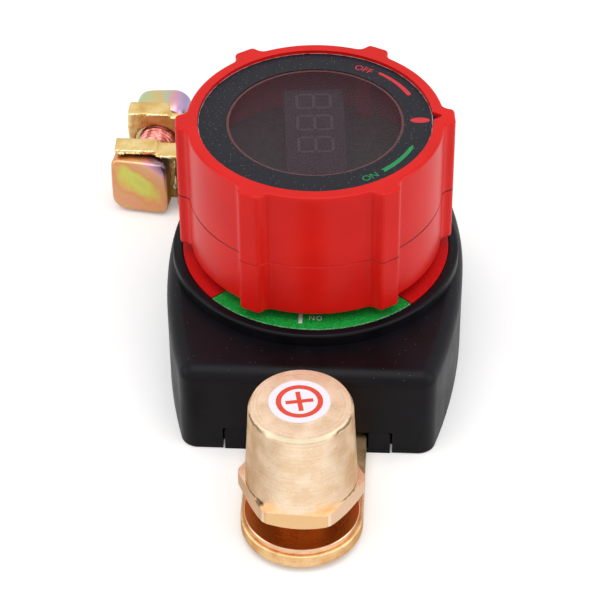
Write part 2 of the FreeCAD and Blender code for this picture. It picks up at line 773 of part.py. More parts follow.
# Battery clamp casting: split ring, two ears, and the tongue into the housing
def clamp_blank():
    """The casting before its bores: ring, ears with their lips, roots and tongue."""
    body = new_body("battery_clamp")
    ear_top = ring_high - ear_lip_z
    front_face = ear_front_y - ear_thick
    rear_face = ear_rear_y + ear_thick
    front_lip_x = -front_ear_x + ear_lip_long
    rear_lip_x = -rear_ear_x + ear_lip_long
    root_top = ring_high - root_drop
    front_root = ear_front_y - root_thick
    rear_root = ear_rear_y + root_thick
    pad(body, ear_floor, root_top, box_points(-front_ear_x, -ring_x, front_face, ring_y))
    pad(body, ear_floor, root_top, box_points(-rear_ear_x, -ring_x, ring_y, rear_face))
    pad(body, ear_top, ring_high,
        box_points(-front_ear_x, front_lip_x, front_face - ear_lip, ring_y))
    pad(body, ear_top, ring_high,
        box_points(-rear_ear_x, rear_lip_x, ring_y, rear_face + ear_lip))
    for x, y in ((-front_ear_x, front_face - ear_lip), (front_lip_x, front_face - ear_lip),
                 (-rear_ear_x, rear_face + ear_lip), (rear_lip_x, rear_face + ear_lip)):
        round_edges(body, "Fillet", ear_corner_r, lambda edge: upright(edge, x, y))
    pad(body, ear_top, root_top, box_points(front_lip_x - lap, -root_x + lap, front_root, ring_y))
    pad_round(body, 0.0, ring_high, ring_r, -ring_x, ring_y)
    pad(body, 0.0, root_top,
        [(-root_x, ear_front_y), (-root_x, front_root),
         (-root_x + root_flare, front_root - root_flare_deep),
         (-ring_x, ring_y - ring_r + cast_lap), (-ring_x, ear_front_y)])
    pad(body, 0.0, root_top,
        [(-rear_root_x, ear_rear_y), (-ring_x, ear_rear_y), (-ring_x, ring_y + ring_r - cast_lap),
         (-rear_root_x + root_flare, rear_root + root_flare_deep), (-rear_root_x, rear_root)])
    pad(body, strap_low, strap_top,
        box_points(-strap_half, strap_half, strap_inner_y, ring_y - ring_top_r - cast_lap))
    pocket(body, -cast_lap, ring_high + cast_lap,
           box_points(-front_ear_x - cast_lap, -ring_x, ear_front_y, ear_rear_y))
    pocket_round(body, strap_low, strap_top, peg_r + peg_gap, [(0.0, rear_peg_y)])
    parts.remove(body)
    return body


def along_bolt():
    """The rotation that lays a body's Z axis along the bolt."""
    lie = FreeCAD.Rotation(FreeCAD.Vector(1, 0, 0), -90)
    skew = FreeCAD.Rotation(FreeCAD.Vector(0, 0, 1), -bolt_turn.value)
    return skew.multiply(lie)


def bolt_spot(along):
    """A point on the bolt's axis, counted from the middle of the split."""
    return (-bolt_x + along * sine(bolt_turn), ring_y + along * cosine(bolt_turn), bolt_z)


def battery_clamp():
    blank = clamp_blank()
    bore = doc.addObject("Part::Cone", "clamp_bore")
    bind(bore, "Radius1", ring_low_r)
    bind(bore, "Radius2", ring_top_r)
    bind(bore, "Height", ring_high)
    place(bore, -ring_x, ring_y, 0.0)
    reach = split / 2 + root_thick
    holes = cylinder("bolt_holes", bolt_hole_r, 0.0, reach * 2)
    holes.Placement.Rotation = along_bolt()
    place(holes, *bolt_spot(-reach))
    cast = less("battery_clamp_cast", blank, joined("clamp_cutters", [bore, holes]))
    blank.Label = "battery_clamp_blank"
    return keep(cast, "battery_clamp")


def square_blank(label, thick, corner_r, crown_r, crown_z):
    """A head or nut with four flats, rounded corners and one crowned end."""
    body = new_body(label)
    pad(body, 0.0, thick, box_points(-head_wide / 2, head_wide / 2, -head_tall / 2, head_tall / 2))
    round_edges(body, "Fillet", corner_r, lambda edge: edge.BoundBox.ZLength > thick.value / 2)
    round_edges(body, "Fillet", crown_r, lambda edge: level(edge, crown_z))
    return body


def clamp_fastener():
    """The square-head bolt through both ears and its square nut, a little askew."""
    bolt = square_blank("clamp_bolt", head_thick, head_round, head_crown, 0.0)
    end = head_thick + seat_y * 2 + nut_thick + bolt_tail
    pad_round(bolt, head_thick, end, bolt_r)
    round_edges(bolt, "Chamfer", bolt_bevel, lambda edge: level(edge, end))
    nut = square_blank("clamp_nut", nut_thick, nut_round, nut_crown, nut_thick)
    pocket_round(nut, 0.0, nut_thick, bolt_r)
    for piece, along in ((bolt, -seat_y - head_thick), (nut, seat_y)):
        piece.Placement.Rotation = along_bolt()
        place(piece, *bolt_spot(along))


# Knob: lower moulding with the floor, upper moulding with the rim
def upright_at(edge, radius):
    """Whether an edge stands upright at one distance from the axis."""
    spot = edge.Vertexes[0].Point
    apart = abs(math.hypot(spot.x, spot.y) - radius)
    return edge.BoundBox.ZLength > rib_half.value and apart < 1e-3


def grip_ribs(body, low, high):
    """Six grip ribs on the round wall, with hollow roots and round tips."""
    near = knob_r - knob_wall / 2
    for number in range(rib_count):
        corners = [(near, -rib_foot_half), (rib_r, -rib_half), (rib_r, rib_half),
                   (near, rib_foot_half)]
        pad(body, low, high, [swung(point, 360 / rib_count * number) for point in corners])
    tip = math.hypot(rib_r.value, rib_half.value)
    round_edges(body, "Fillet", rib_root_r, lambda edge: upright_at(edge, knob_r.value))
    round_edges(body, "Fillet", rib_tip_r, lambda edge: upright_at(edge, tip))


def outer_edge(edge, height):
    """An edge at one height on the outside of the knob."""
    inside = min(vertex.Point.x ** 2 + vertex.Point.y ** 2 for vertex in edge.Vertexes)
    return level(edge, height) and inside > (knob_r.value - knob_wall.value / 2) ** 2


def at_rest(body):
    bind(body, "Placement.Rotation.Angle", knob_rest)
    return body


def feed_spots():
    """Where the two feed pins stand, each over the middle of its ring."""
    return [(0.0, inner_feed_r + feed_ring_wide / 2), (0.0, -outer_feed_r - feed_ring_wide / 2)]


def knob_lower():
    body = new_body("knob_lower")
    pad_round(body, knob_z, parting_z, knob_r)
    grip_ribs(body, knob_z, parting_z)
    round_edges(body, "Fillet", knob_foot_round, lambda edge: outer_edge(edge, knob_z))
    round_edges(body, "Chamfer", parting_bevel, lambda edge: outer_edge(edge, parting_z))
    spigot_r = inner_r - spigot_gap
    pad_round(body, parting_z, board_low, spigot_r)
    pocket_round(body, floor_top, board_low, spigot_r - spigot_wall)
    pocket_round(body, knob_z, floor_z, inner_r)
    spin(body, "Revolution", ring_section(skirt_r - skirt_wall, skirt_r, skirt_z, floor_z + lap))
    pad_round(body, knob_z, floor_z, shaft_r + hub_wall)
    pocket_round(body, knob_z, floor_z, shaft_r + drive_gap)
    key = drive_half + drive_gap
    pocket(body, knob_z, floor_top, box_points(-key, key, -key, key))
    for spot in feed_spots():
        pad_round(body, floor_z, board_low - lap * 2, feed_tube_r, *spot)
        pocket_round(body, floor_z - lap, board_low, feed_pin_r + feed_gap, [spot])
    return at_rest(body)


def knob_upper():
    body = new_body("knob_upper")
    pad_round(body, parting_z, rim_z, knob_r)
    grip_ribs(body, parting_z, rim_z)
    round_edges(body, "Fillet", rim_round, lambda edge: outer_edge(edge, rim_z))
    round_edges(body, "Chamfer", parting_bevel, lambda edge: outer_edge(edge, parting_z))
    ledge_low = lens_low - ledge_thick
    pocket_round(body, parting_z, ledge_low, inner_r)
    pocket_round(body, ledge_low, lens_low, ledge_r)
    pocket_round(body, lens_low, rim_z, face_r + edge_gap)
    start = face_r - pointer_root
    foot = pointer_half + notch_gap
    tip = pointer_r + notch_gap
    pocket(body, lens_top, rim_z, [(start, -foot), (tip, -notch_tip), (tip, notch_tip),
                                   (start, foot)])
    half = press_rib_wide / 2
    for number in range(3):
        corners = [(ledge_r, -half), (inner_r + lap, -half), (inner_r + lap, half), (ledge_r, half)]
        pad(body, board_z, ledge_low, [swung(point, 60 + 120 * number) for point in corners])
    return at_rest(body)


def knob_face():
    """The printed film with its pointer, and the tinted lens below it."""
    film = new_body("face_film")
    pad_round(film, lens_top, face_z, face_r)
    start = face_r - pointer_root
    pad(film, lens_top, face_z, [(start, -pointer_half), (pointer_r, 0.0), (start, pointer_half)])
    pocket_round(film, lens_top, face_z, window_r)
    at_rest(film)
    turned("window_lens", [(0.0, lens_low), (face_r, lens_low), (face_r, lens_top),
                           (0.0, lens_top)])


def electronics():
    board = new_body("circuit_board")
    pin_top = board_low + board_thick / 2
    pad_round(board, board_low, board_z, inner_r - board_gap)
    pocket_round(board, board_low, pin_top, feed_pin_r, feed_spots())
    at_rest(board)
    display = new_body("display_module")
    pad(display, board_z, board_z + display_high,
        box_points(-display_wide / 2, display_wide / 2, -display_long / 2, display_long / 2))
    at_rest(display)
    low = label_seat_z
    for name, spot in zip(("inner_feed_pin", "outer_feed_pin"), feed_spots()):
        x, y = swung(spot, knob_rest)
        turned(name, [(0.0, low), (feed_pin_r - feed_pin_tip, low),
                      (feed_pin_r, low + feed_pin_tip), (feed_pin_r, pin_top), (0.0, pin_top)],
               x=x, y=y)


# Rotor with its drive square, contact bridge, springs and detent balls
def rotor():
    body = new_body("rotor")
    pad_round(body, flange_low, flange_top, flange_r)
    pad_round(body, strap_top + hub_lift, flange_top, hub_r)
    pad_round(body, flange_low, floor_z, shaft_r)
    pad(body, flange_low, floor_top - drive_end_gap,
        box_points(-drive_half, drive_half, -drive_half, drive_half))
    slot = bridge_wide / 2 + bridge_gap
    pocket(body, strap_top, strap_top + bridge_thick + bridge_room,
           box_points(-hub_r - lap, hub_r + lap, -slot, slot))
    pocket_round(body, strap_top, spring_pocket_z, spring_pocket_r)
    hole_low = floor_top - centre_screw_long - centre_hole_room
    pocket_round(body, hole_low, floor_top, centre_screw_r)
    pocket_round(body, flange_low + pocket_floor, flange_top, ball_r + pocket_gap,
                 [(ball_ring_r, 0.0), (-ball_ring_r, 0.0)])
    spare = stop_half + stop_slack
    notch, arcs = sector(stop_r - air, flange_r + lap, stop_at - spare - knob_rest,
                         stop_at + spare + turn_range - knob_rest)
    pocket(body, dome_z - stop_high - air, flange_top, notch, arcs)
    return at_rest(body)


def coil(label, coil_r, wire_r, low, high, turns, x=0.0, y=0.0):
    """A compression spring of six-sided wire, swept along a helix between two levels."""
    height = high.value - low.value - 2 * wire_r.value
    path = Part.makeHelix(height / turns, height, coil_r.value)
    corners = []
    for number in range(6):
        turn = math.radians(60 * number)
        corners.append(FreeCAD.Vector(coil_r.value + wire_r.value * math.cos(turn), 0,
                                      wire_r.value * math.sin(turn)))
    section = Part.makePolygon(corners + corners[:1])
    item = doc.addObject("Part::Feature", label)
    item.Shape = Part.Wire(path).makePipeShell([section], True, True)
    item.Placement.Base = FreeCAD.Vector(as_size(x).value, as_size(y).value,
                                         low.value + wire_r.value)
    return item


def contact_set():
    bridge = new_body("contact_bridge")
    low = strap_top + bridge_thick
    pad(bridge, strap_top, low,
        box_points(-bridge_half, bridge_half, -bridge_wide / 2, bridge_wide / 2))
    at_rest(bridge)
    keep(coil("pressure_spring", spring_coil_r, spring_wire, low, spring_pocket_z, 5),
         "pressure_spring")
    centre_z = dome_z + ball_sink - ball_r
    floor = flange_low + pocket_floor
    seats = [polar(ball_ring_r, knob_rest), polar(-ball_ring_r, knob_rest)]
    group = doc.addObject("Part::Compound", "detent_balls")
    group.Links = [sphere(f"ball_{number}", ball_r, x, y, centre_z)
                   for number, (x, y) in enumerate(seats)]
    keep(group, "detent_balls")
    high = centre_z - root(ball_r * ball_r - detent_coil_r * detent_coil_r) - running
    group = doc.addObject("Part::Compound", "detent_springs")
    group.Links = [coil(f"detent_coil_{number}", detent_coil_r, detent_wire, floor, high, 4, x, y)
                   for number, (x, y) in enumerate(seats)]
    keep(group, "detent_springs")


def centre_fixing():
    low = floor_top
    high = floor_top + centre_washer_thick
    turned("centre_washer", ring_section(centre_screw_r, centre_washer_r, low, high))
    top = high + centre_head_z
    end = low - centre_screw_long
    turned("centre_screw", [(0.0, end), (centre_screw_r, end), (centre_screw_r, high),
                            (centre_head_r, high), (centre_head_r, top - centre_head_bevel),
                            (centre_head_r - centre_head_bevel, top), (centre_socket_r, top),
                            (centre_socket_r, top - centre_socket_z),
                            (0.0, top - centre_socket_z)])


shell = housing()
parts.remove(shell)
shell.Label = "housing_blank"
keep(detent_track(shell), "housing")
base_cover()
cover_screws()
top_rings()
front_busbar()
stud_and_washer()
terminal_post()
battery_clamp()
clamp_fastener()
knob_lower()
knob_upper()
knob_face()
electronics()
rotor()
contact_set()
centre_fixing()
doc.recompute()

# Nothing is written unless every object is sound
for item in doc.Objects:
    if "Invalid" in item.State or "Error" in item.State:
        raise RuntimeError(f"{item.Label} failed: {item.State}")
for item in parts:
    if item.Shape.isNull() or not item.Shape.isValid():
        raise RuntimeError(f"{item.Label} has no sound shape")

os.makedirs("parts", exist_ok=True)
for item in parts:
    item.Shape.exportStep(f"parts/{item.Label}.step")
    box = item.Shape.BoundBox
    print(f"{item.Label}: {len(item.Shape.Solids)} solids, {item.Shape.Volume:.1f} mm3, "
          f"z {box.ZMin:.2f} to {box.ZMax:.2f}")
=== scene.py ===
import math
import bpy
import bmesh
from mathutils import Matrix, Vector, noise


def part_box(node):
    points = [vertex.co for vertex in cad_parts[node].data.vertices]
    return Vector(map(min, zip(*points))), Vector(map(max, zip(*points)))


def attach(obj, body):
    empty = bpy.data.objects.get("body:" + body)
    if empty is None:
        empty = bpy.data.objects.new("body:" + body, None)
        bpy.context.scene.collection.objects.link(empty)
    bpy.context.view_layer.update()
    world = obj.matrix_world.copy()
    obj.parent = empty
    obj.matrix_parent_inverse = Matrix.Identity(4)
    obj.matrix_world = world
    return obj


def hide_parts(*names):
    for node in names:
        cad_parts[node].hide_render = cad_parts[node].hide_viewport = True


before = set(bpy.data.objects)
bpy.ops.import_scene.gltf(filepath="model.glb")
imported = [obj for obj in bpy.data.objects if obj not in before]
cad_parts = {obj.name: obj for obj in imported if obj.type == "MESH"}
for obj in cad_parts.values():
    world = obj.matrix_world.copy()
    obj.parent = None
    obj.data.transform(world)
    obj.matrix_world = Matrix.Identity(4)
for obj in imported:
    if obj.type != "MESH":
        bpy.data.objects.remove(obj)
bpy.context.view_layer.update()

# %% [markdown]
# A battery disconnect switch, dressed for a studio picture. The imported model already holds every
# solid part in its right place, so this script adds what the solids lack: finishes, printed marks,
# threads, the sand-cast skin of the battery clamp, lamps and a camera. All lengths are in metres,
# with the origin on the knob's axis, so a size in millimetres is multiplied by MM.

MM = 0.001


# %% [markdown]
# The camera repeats the real one. Its direction, distance and lens were worked out from points of
# the object, so the picture lines up with the photograph. A lens of 143 mm from 45 cm away gives
# the flat look of a product picture. The picture counts as 612 pixels wide.

# %% Camera
PICTURE_PX = 612
SENSOR_MM = 36.0
FOCAL_PX = 2430.952
AIM = Vector((-1.869, 0.0, 4.920)) * MM
DISTANCE = 454.575 * MM
TURN, TILT, ROLL = (math.radians(angle) for angle in (3.099, 40.873, -0.444))

forward = Vector((-math.sin(TURN) * math.cos(TILT), math.cos(TURN) * math.cos(TILT), -math.sin(TILT)))
right = Vector((math.cos(TURN), math.sin(TURN), 0.0))
above = right.cross(forward)
right, above = (right * math.cos(ROLL) + above * math.sin(ROLL),
                above * math.cos(ROLL) - right * math.sin(ROLL))
camera = bpy.data.objects.new("camera", bpy.data.cameras.new("camera"))
camera.data.sensor_width = SENSOR_MM
camera.data.lens = FOCAL_PX / PICTURE_PX * SENSOR_MM
camera.matrix_world = Matrix.Translation(AIM - forward * DISTANCE) @ Matrix(
    (right, above, -forward)).transposed().to_4x4()
bpy.context.scene.collection.objects.link(camera)
bpy.context.scene.camera = camera
bpy.context.scene.view_settings.view_transform = "Standard"
print("lens", round(camera.data.lens, 1), "mm")

# %% [markdown]
# Finishes are node trees. One function adds a node, sets it, and fills its inputs with numbers or
# other nodes. Colours are hex values, as a painter would pick them from a screen, turned to the
# linear numbers that light needs. Textures lie in the object's own space and keep their real size.

# %% Colour and node helpers


def srgb(code):
    """The linear colour of an sRGB hex value."""
    parts = [int(code[start:start + 2], 16) / 255 for start in (1, 3, 5)]
    return [part / 12.92 if part <= 0.04045 else ((part + 0.055) / 1.055) ** 2.4
            for part in parts] + [1.0]


def join(tree, source, socket):
    """Link an output to an input; a node stands for its first output."""
    tree.links.new(source.outputs[0] if isinstance(source, bpy.types.Node) else source, socket)


def add(tree, kind, inputs=None, stops=None, **settings):
    """Add one shader node with its settings, its inputs and, on a ramp, its colour stops."""
    made = tree.nodes.new("ShaderNode" + kind)
    for name, value in settings.items():
        setattr(made, name, value)
    for key, value in (inputs or {}).items():
        if isinstance(value, (bpy.types.Node, bpy.types.NodeSocket)):
            join(tree, value, made.inputs[key])
        else:
            made.inputs[key].default_value = value
    for index, (position, code) in enumerate(stops or []):
        ramp = made.color_ramp.elements
        stop = ramp[index] if index < 2 else ramp.new(position)
        stop.position = position
        stop.color = srgb(code)
    return made


def finish_named(name, **constants):
    """A new material with its shader's plain values set; returns material, tree and shader."""
    made = bpy.data.materials.new(name)
    made.use_nodes = True
    shader = made.node_tree.nodes["Principled BSDF"]
    for socket, value in constants.items():
        shader.inputs[socket.replace("_", " ")].default_value = value
    return made, made.node_tree, shader


def feed(shader, **outputs):
    """Link outputs to the shader's sockets, whose names have _ for a space."""
    for socket, output in outputs.items():
        join(shader.id_data, output, shader.inputs[socket.replace("_", " ")])


def per_mm(millimetres):
    """The texture scale whose features are that many millimetres across."""
    return 1.0 / (millimetres * MM)


def on_object(place, size_mm, **more):
    """Inputs that lay a texture on the object with features of a real size."""
    return {"Vector": place.outputs["Object"], "Scale": per_mm(size_mm), **more}


def bumped(tree, shader, height, depth_mm, strength=1.0):
    bump = add(tree, "Bump", {"Height": height, "Distance": depth_mm * MM, "Strength": strength})
    feed(shader, Normal=bump)


def product(tree, first, *others):
    """Outputs multiplied with each other, such as masks of which all have to be open."""
    for other in others:
        first = add(tree, "Math", {0: first, 1: other}, operation="MULTIPLY")
    return first


def layered(tree, colour, *layers):
    """A colour under further ones; a layer is the share that it covers and its hex value."""
    for share, code in layers:
        colour = add(tree, "Mix", {0: share, 6: colour, 7: srgb(code)}, data_type="RGBA").outputs[2]
    return colour


def dress(names, material):
    """Give CAD nodes one finish, in every slot they have."""
    for name in names:
        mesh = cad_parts[name].data
        mesh.materials.clear()
        mesh.materials.append(material)
    print(material.name, "on", ", ".join(names))


# %% [markdown]
# Black glass-filled nylon, moulded. It is not quite black, has a fine matt grain from the mould,
# and holds a little workshop dust on faces that look up. The dust is small spheres in space, of
# which a surface shows those that it cuts, so no speck is stretched. A cell's random colour decides
# whether it holds one, so the dust lies unevenly.

# %% Moulded nylon
DUST_CELL_MM, DUST_REACH, DUST_BRIGHT = 0.9, 0.075, 0.3
CHOSEN_ABOVE, UPWARD_ABOVE = 0.6, 0.25
nylon, tree, shader = finish_named("moulded_nylon", IOR=1.53, Specular_IOR_Level=0.13)
place = add(tree, "TexCoord")
grain = add(tree, "TexNoise", on_object(place, 0.45, Detail=2.0))
cloud = add(tree, "TexNoise", on_object(place, 7.0, Detail=3.0))
tone = add(tree, "ValToRGB", {"Fac": cloud}, stops=[(0.35, "#0A090D"), (0.7, "#110F15")])
rough = add(tree, "MapRange", {"Value": cloud, "From Min": 0.3, "From Max": 0.7,
                               "To Min": 0.34, "To Max": 0.46})
specks = add(tree, "TexVoronoi", on_object(place, DUST_CELL_MM))
speck = add(tree, "Math", {0: specks.outputs["Distance"], 1: DUST_REACH}, operation="LESS_THAN")
chance = add(tree, "SeparateXYZ", {0: specks.outputs["Color"]})
chosen = add(tree, "Math", {0: chance.outputs[0], 1: CHOSEN_ABOVE}, operation="GREATER_THAN")
facing = add(tree, "SeparateXYZ", {0: add(tree, "NewGeometry").outputs["Normal"]})
upward = add(tree, "Math", {0: facing.outputs["Z"], 1: UPWARD_ABOVE}, operation="GREATER_THAN")
dust = product(tree, speck, chosen, upward, DUST_BRIGHT)
feed(shader, Base_Color=layered(tree, tone, (dust, "#B9B4C2")), Roughness=rough)
bumped(tree, shader, grain, 0.02, 0.6)
dress(["housing", "base_cover", "rotor"], nylon)

# %% [markdown]
# Red ABS, moulded in a polished tool: deep, even colour with a satin gloss. Tone and gloss change a
# little and slowly over the skin, as they do where the plastic cooled unevenly. The knob's two
# mouldings meet in a fine groove, which carries painted shade: it is painted dark at the sides and
# fades out towards the front.

# %% Moulded red ABS
PARTING_Z, PARTING_HALF = 33.45, 0.15
SHADE_GONE_X, SHADE_FULL_X = 7, 17
abs_red, tree, shader = finish_named("moulded_abs", IOR=1.53, Specular_IOR_Level=0.2)
place = add(tree, "TexCoord")
cloud = add(tree, "TexNoise", on_object(place, 9.0, Detail=2.0))
tone = add(tree, "ValToRGB", {"Fac": cloud}, stops=[(0.0, "#CC0D08"), (1.0, "#E61C12")])
rough = add(tree, "MapRange", {"Value": cloud, "To Min": 0.28, "To Max": 0.34})
parts = add(tree, "SeparateXYZ", {0: place.outputs["Object"]})
level = add(tree, "Math", {0: parts.outputs[2], 1: PARTING_Z * MM, 2: PARTING_HALF * MM},
            operation="COMPARE")
aside = add(tree, "Math", {0: parts.outputs[0]}, operation="ABSOLUTE")
aside = add(tree, "MapRange", {"Value": aside, "From Min": SHADE_GONE_X * MM,
                               "From Max": SHADE_FULL_X * MM, "To Max": 0.9})
# painted shade: the parting groove is darkened, most at the sides
groove_painted_shade = product(tree, level, aside)
feed(shader, Base_Color=layered(tree, tone, (groove_painted_shade, "#5A0604")), Roughness=rough)
dress(["knob_lower", "knob_upper"], abs_red)

# %% [markdown]
# Brass turned on a lathe. The tool leaves fine rings round the axis, so colour, roughness and bump
# follow the distance from the axis on flat faces and the height on the cone. Real rings are a
# twentieth of a millimetre apart. Here they are several times as coarse, so that they still show.
# A metal's edge tint, set a little brown, darkens it where it turns away.

# %% Turned brass


def from_axis(tree, parts):
    """The distance from an upright axis, out of split coordinates."""
    flat = add(tree, "CombineXYZ", {0: parts.outputs[0], 1: parts.outputs[1]})
    return add(tree, "VectorMath", {0: flat}, operation="LENGTH").outputs["Value"]


def turned_brass(name, axis_xy_mm, light, dark, low, high):
    """Brass with rings round an upright axis.

    Returns material, tree, shader, colour, and the coordinates about the axis, whole and split.
    """
    made, tree, shader = finish_named(name, Metallic=1.0, Specular_Tint=srgb("#C9AE94"))
    place = add(tree, "TexCoord")
    axis = [axis_xy_mm[0] * MM, axis_xy_mm[1] * MM, 0.0]
    centred = add(tree, "VectorMath", {0: place.outputs["Object"], 1: axis}, operation="SUBTRACT")
    parts = add(tree, "SeparateXYZ", {0: centred})
    reach = add(tree, "Math", {0: from_axis(tree, parts), 1: parts.outputs[2]}, operation="ADD")
    rings = add(tree, "TexNoise", {"W": reach, "Scale": per_mm(0.3), "Detail": 3.0, "Roughness": 0.7},
                noise_dimensions="1D")
    blotch = add(tree, "TexNoise", on_object(place, 3.0, Detail=4.0))
    pits = add(tree, "TexNoise", on_object(place, 0.45, Detail=3.0))
    mixed = add(tree, "Math", {0: rings, 1: 0.6, 2: blotch}, operation="MULTIPLY_ADD")
    mixed = add(tree, "Math", {0: pits, 1: 0.4, 2: mixed}, operation="MULTIPLY_ADD")
    share = add(tree, "MapRange", {"Value": mixed, "From Min": 0.7, "From Max": 1.3})
    tone = add(tree, "ValToRGB", {"Fac": share}, stops=[(0.2, dark), (0.8, light)])
    rough = add(tree, "MapRange", {"Value": share, "To Min": low, "To Max": high})
    height = add(tree, "Math", {0: pits, 1: 0.6, 2: rings}, operation="MULTIPLY_ADD")
    feed(shader, Base_Color=tone, Roughness=rough)
    bumped(tree, shader, height, 0.03, 0.8)
    return made, tree, shader, tone, centred, parts


POST_XY = (0.0, -52.6)
strap_brass = turned_brass("rolled_brass_strap", POST_XY, "#F6D2A0", "#DFB078", 0.32, 0.46)[0]
ring_brass = turned_brass("turned_brass_rings", (0.0, 0.0), "#E9C983", "#D6AC5F", 0.25, 0.4)[0]
dress(["front_busbar"], strap_brass)
dress(["inner_feed_ring", "outer_feed_ring", "inner_feed_pin", "outer_feed_pin"], ring_brass)

# %% [markdown]
# The washer's top is painted dark and coppery, as painted shade and painted reflection of the
# hexagon above it, while its rim keeps the plain brass. It is one ring of one brass, so a test of
# the height tells the top from the rim.

# %% Washer
SKIN = 0.06
WASHER_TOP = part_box("post_washer")[1][2] / MM
washer_brass, tree, shader, colour, _, parts = turned_brass(
    "turned_brass_washer", POST_XY, "#F7DCC2", "#E6BEA0", 0.24, 0.36)
# painted shade and painted reflection: the top is darkened where the hexagon above shades it
painted_shade_top = add(tree, "Math", {0: parts.outputs[2], 1: (WASHER_TOP - SKIN) * MM},
                operation="GREATER_THAN")
feed(shader, Base_Color=layered(tree, colour, (painted_shade_top, "#C27A3E")))
dress(["post_washer"], washer_brass)

# %% [markdown]
# The post is turned from hexagon bar. Its flats keep the bar's drawn skin, which is more golden
# than the freshly cut cone, chamfer and shoulder. The side flats are painted paler than the front
# flat, as painted light where they catch more light, and the chamfer carries a painted highlight,
# brightest in front. Height and the angle round the post pick each place.

# %% Flats and chamfer of the post, with painted light and a painted highlight
HEX_HIGH, BEVEL_HIGH = 3.5, 0.7
CUT_HALF = 0.33
FRONT_FLAT_DEG, FLAT_HALF_DEG = -2.8, 30
HIGHLIGHT_FULL_TO_DEG, HIGHLIGHT_GONE_FROM_DEG = 30, 44
HEX_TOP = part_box("terminal_post")[0][2] / MM + HEX_HIGH
BEVEL_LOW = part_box("terminal_post")[1][2] / MM - BEVEL_HIGH


def apart(tree, value, middle):
    """How far a value lies from a middle, either way."""
    off = add(tree, "Math", {0: value, 1: middle}, operation="SUBTRACT")
    return add(tree, "Math", {0: off}, operation="ABSOLUTE")


post_brass, tree, shader, colour, centred, parts = turned_brass(
    "turned_brass_post", POST_XY, "#FEE8CC", "#EFCFAA", 0.3, 0.48)
ahead = product(tree, parts.outputs[1], -1.0)
angle = add(tree, "Math", {0: parts.outputs[0], 1: ahead}, operation="ARCTAN2")
folded = add(tree, "Math", {0: angle}, operation="ABSOLUTE")
drawn = add(tree, "Math", {0: parts.outputs[2], 1: (HEX_TOP - SKIN) * MM}, operation="LESS_THAN")
# painted light: the flats beside the front one are made paler, as if they caught more light
beside = add(tree, "Math", {0: apart(tree, angle, math.radians(FRONT_FLAT_DEG)),
                            1: math.radians(FLAT_HALF_DEG)}, operation="GREATER_THAN")
cut = add(tree, "Math", {0: parts.outputs[2], 1: (BEVEL_LOW + BEVEL_HIGH / 2) * MM, 2: CUT_HALF * MM},
          operation="COMPARE")
# painted highlight: the chamfer is lightened most in front and fades out towards the sides
facing = add(tree, "MapRange", {"Value": folded, "From Min": math.radians(HIGHLIGHT_FULL_TO_DEG),
                                "From Max": math.radians(HIGHLIGHT_GONE_FROM_DEG), "To Min": 0.75, "To Max": 0.0})
colour = layered(tree, colour, (drawn, "#EEC592"), (product(tree, drawn, beside), "#FBE0C4"),
                 (product(tree, cut, facing), "#FFF3CF"))
print("flats and chamfer in", post_brass.name)

# %% [markdown]
# Painted shade: dark bands on the chamfer at both sides, where it turns away, and in the corner
# above the hexagon, under the foot of the cone. Each mark is a band at one height over a stretch of
# the angle. A noise shifts the height, so that its border frays, and it fades towards its ends.

# %% Painted shade on the post
FRAY_MM = 0.8
fray = add(tree, "TexNoise", {"Vector": centred, "Scale": per_mm(1.0), "Detail": 3.0})
frayed = add(tree, "Math", {0: fray, 1: FRAY_MM * MM, 2: parts.outputs[2]}, operation="MULTIPLY_ADD")
# painted shade: each band darkens the brass where the chamfer turns away or the cone's foot shades it
# each mark: the angle that it follows, its height, half its width, its first and last degree
PAINTED_SHADE_MARKS = [(folded, BEVEL_LOW, 0.3, 38, 82),
           (angle, HEX_TOP + 0.15, 0.4, -50, -38),
           (folded, HEX_TOP + 0.3, 0.2, 46, 80)]
for way, level, half, first, last in PAINTED_SHADE_MARKS:
    reach = math.radians((last - first) / 2)
    band = add(tree, "MapRange", {"Value": apart(tree, frayed, (level + FRAY_MM / 2) * MM),
                                  "From Min": 0.2 * half * MM, "From Max": 1.4 * half * MM,
                                  "To Min": 0.8, "To Max": 0.0})
    stretch = add(tree, "MapRange", {"Value": apart(tree, way, math.radians((first + last) / 2)),
                                     "From Min": 0.6 * reach, "From Max": 1.1 * reach,
                                     "To Min": 1.0, "To Max": 0.0})
    colour = layered(tree, colour, (product(tree, band, stretch), "#4A3212"))
feed(shader, Base_Color=colour)
dress(["terminal_post"], post_brass)

# %% [markdown]
# The label is a printed film: a green quarter where the knob is on, red elsewhere. The sector is
# found from the angle round the axis, so its edges stay sharp at any size. Where the two inks
# overlap, a thin dark line shows. The print has a fine paper-like grain, and the cut outer edge of
# the green part is frayed and pale.

# %% Printed label
GREEN_FROM = math.pi - math.radians(47.05)
OVERPRINT_HALF = math.radians(0.35)
LABEL_EDGE_MM = 24.12
label, tree, shader = finish_named("printed_label_film", Roughness=0.42, IOR=1.5, Specular_IOR_Level=0.22)
place = add(tree, "TexCoord")
parts = add(tree, "SeparateXYZ", {0: place.outputs["Object"]})
angle = add(tree, "Math", {0: parts.outputs[0], 1: parts.outputs[1]}, operation="ARCTAN2")
folded = add(tree, "Math", {0: angle}, operation="ABSOLUTE")
is_green = add(tree, "Math", {0: folded, 1: GREEN_FROM}, operation="GREATER_THAN")
grain = add(tree, "TexNoise", on_object(place, 0.3, Detail=2.0))
green = add(tree, "ValToRGB", {"Fac": grain}, stops=[(0.3, "#067E24"), (0.75, "#2CBE54")])
red = add(tree, "ValToRGB", {"Fac": grain}, stops=[(0.3, "#C40A0C"), (0.75, "#E01E1C")])
sectors = add(tree, "Mix", {0: is_green, 6: red, 7: green}, data_type="RGBA")
edge = add(tree, "Math", {0: from_axis(tree, parts), 1: LABEL_EDGE_MM * MM}, operation="GREATER_THAN")
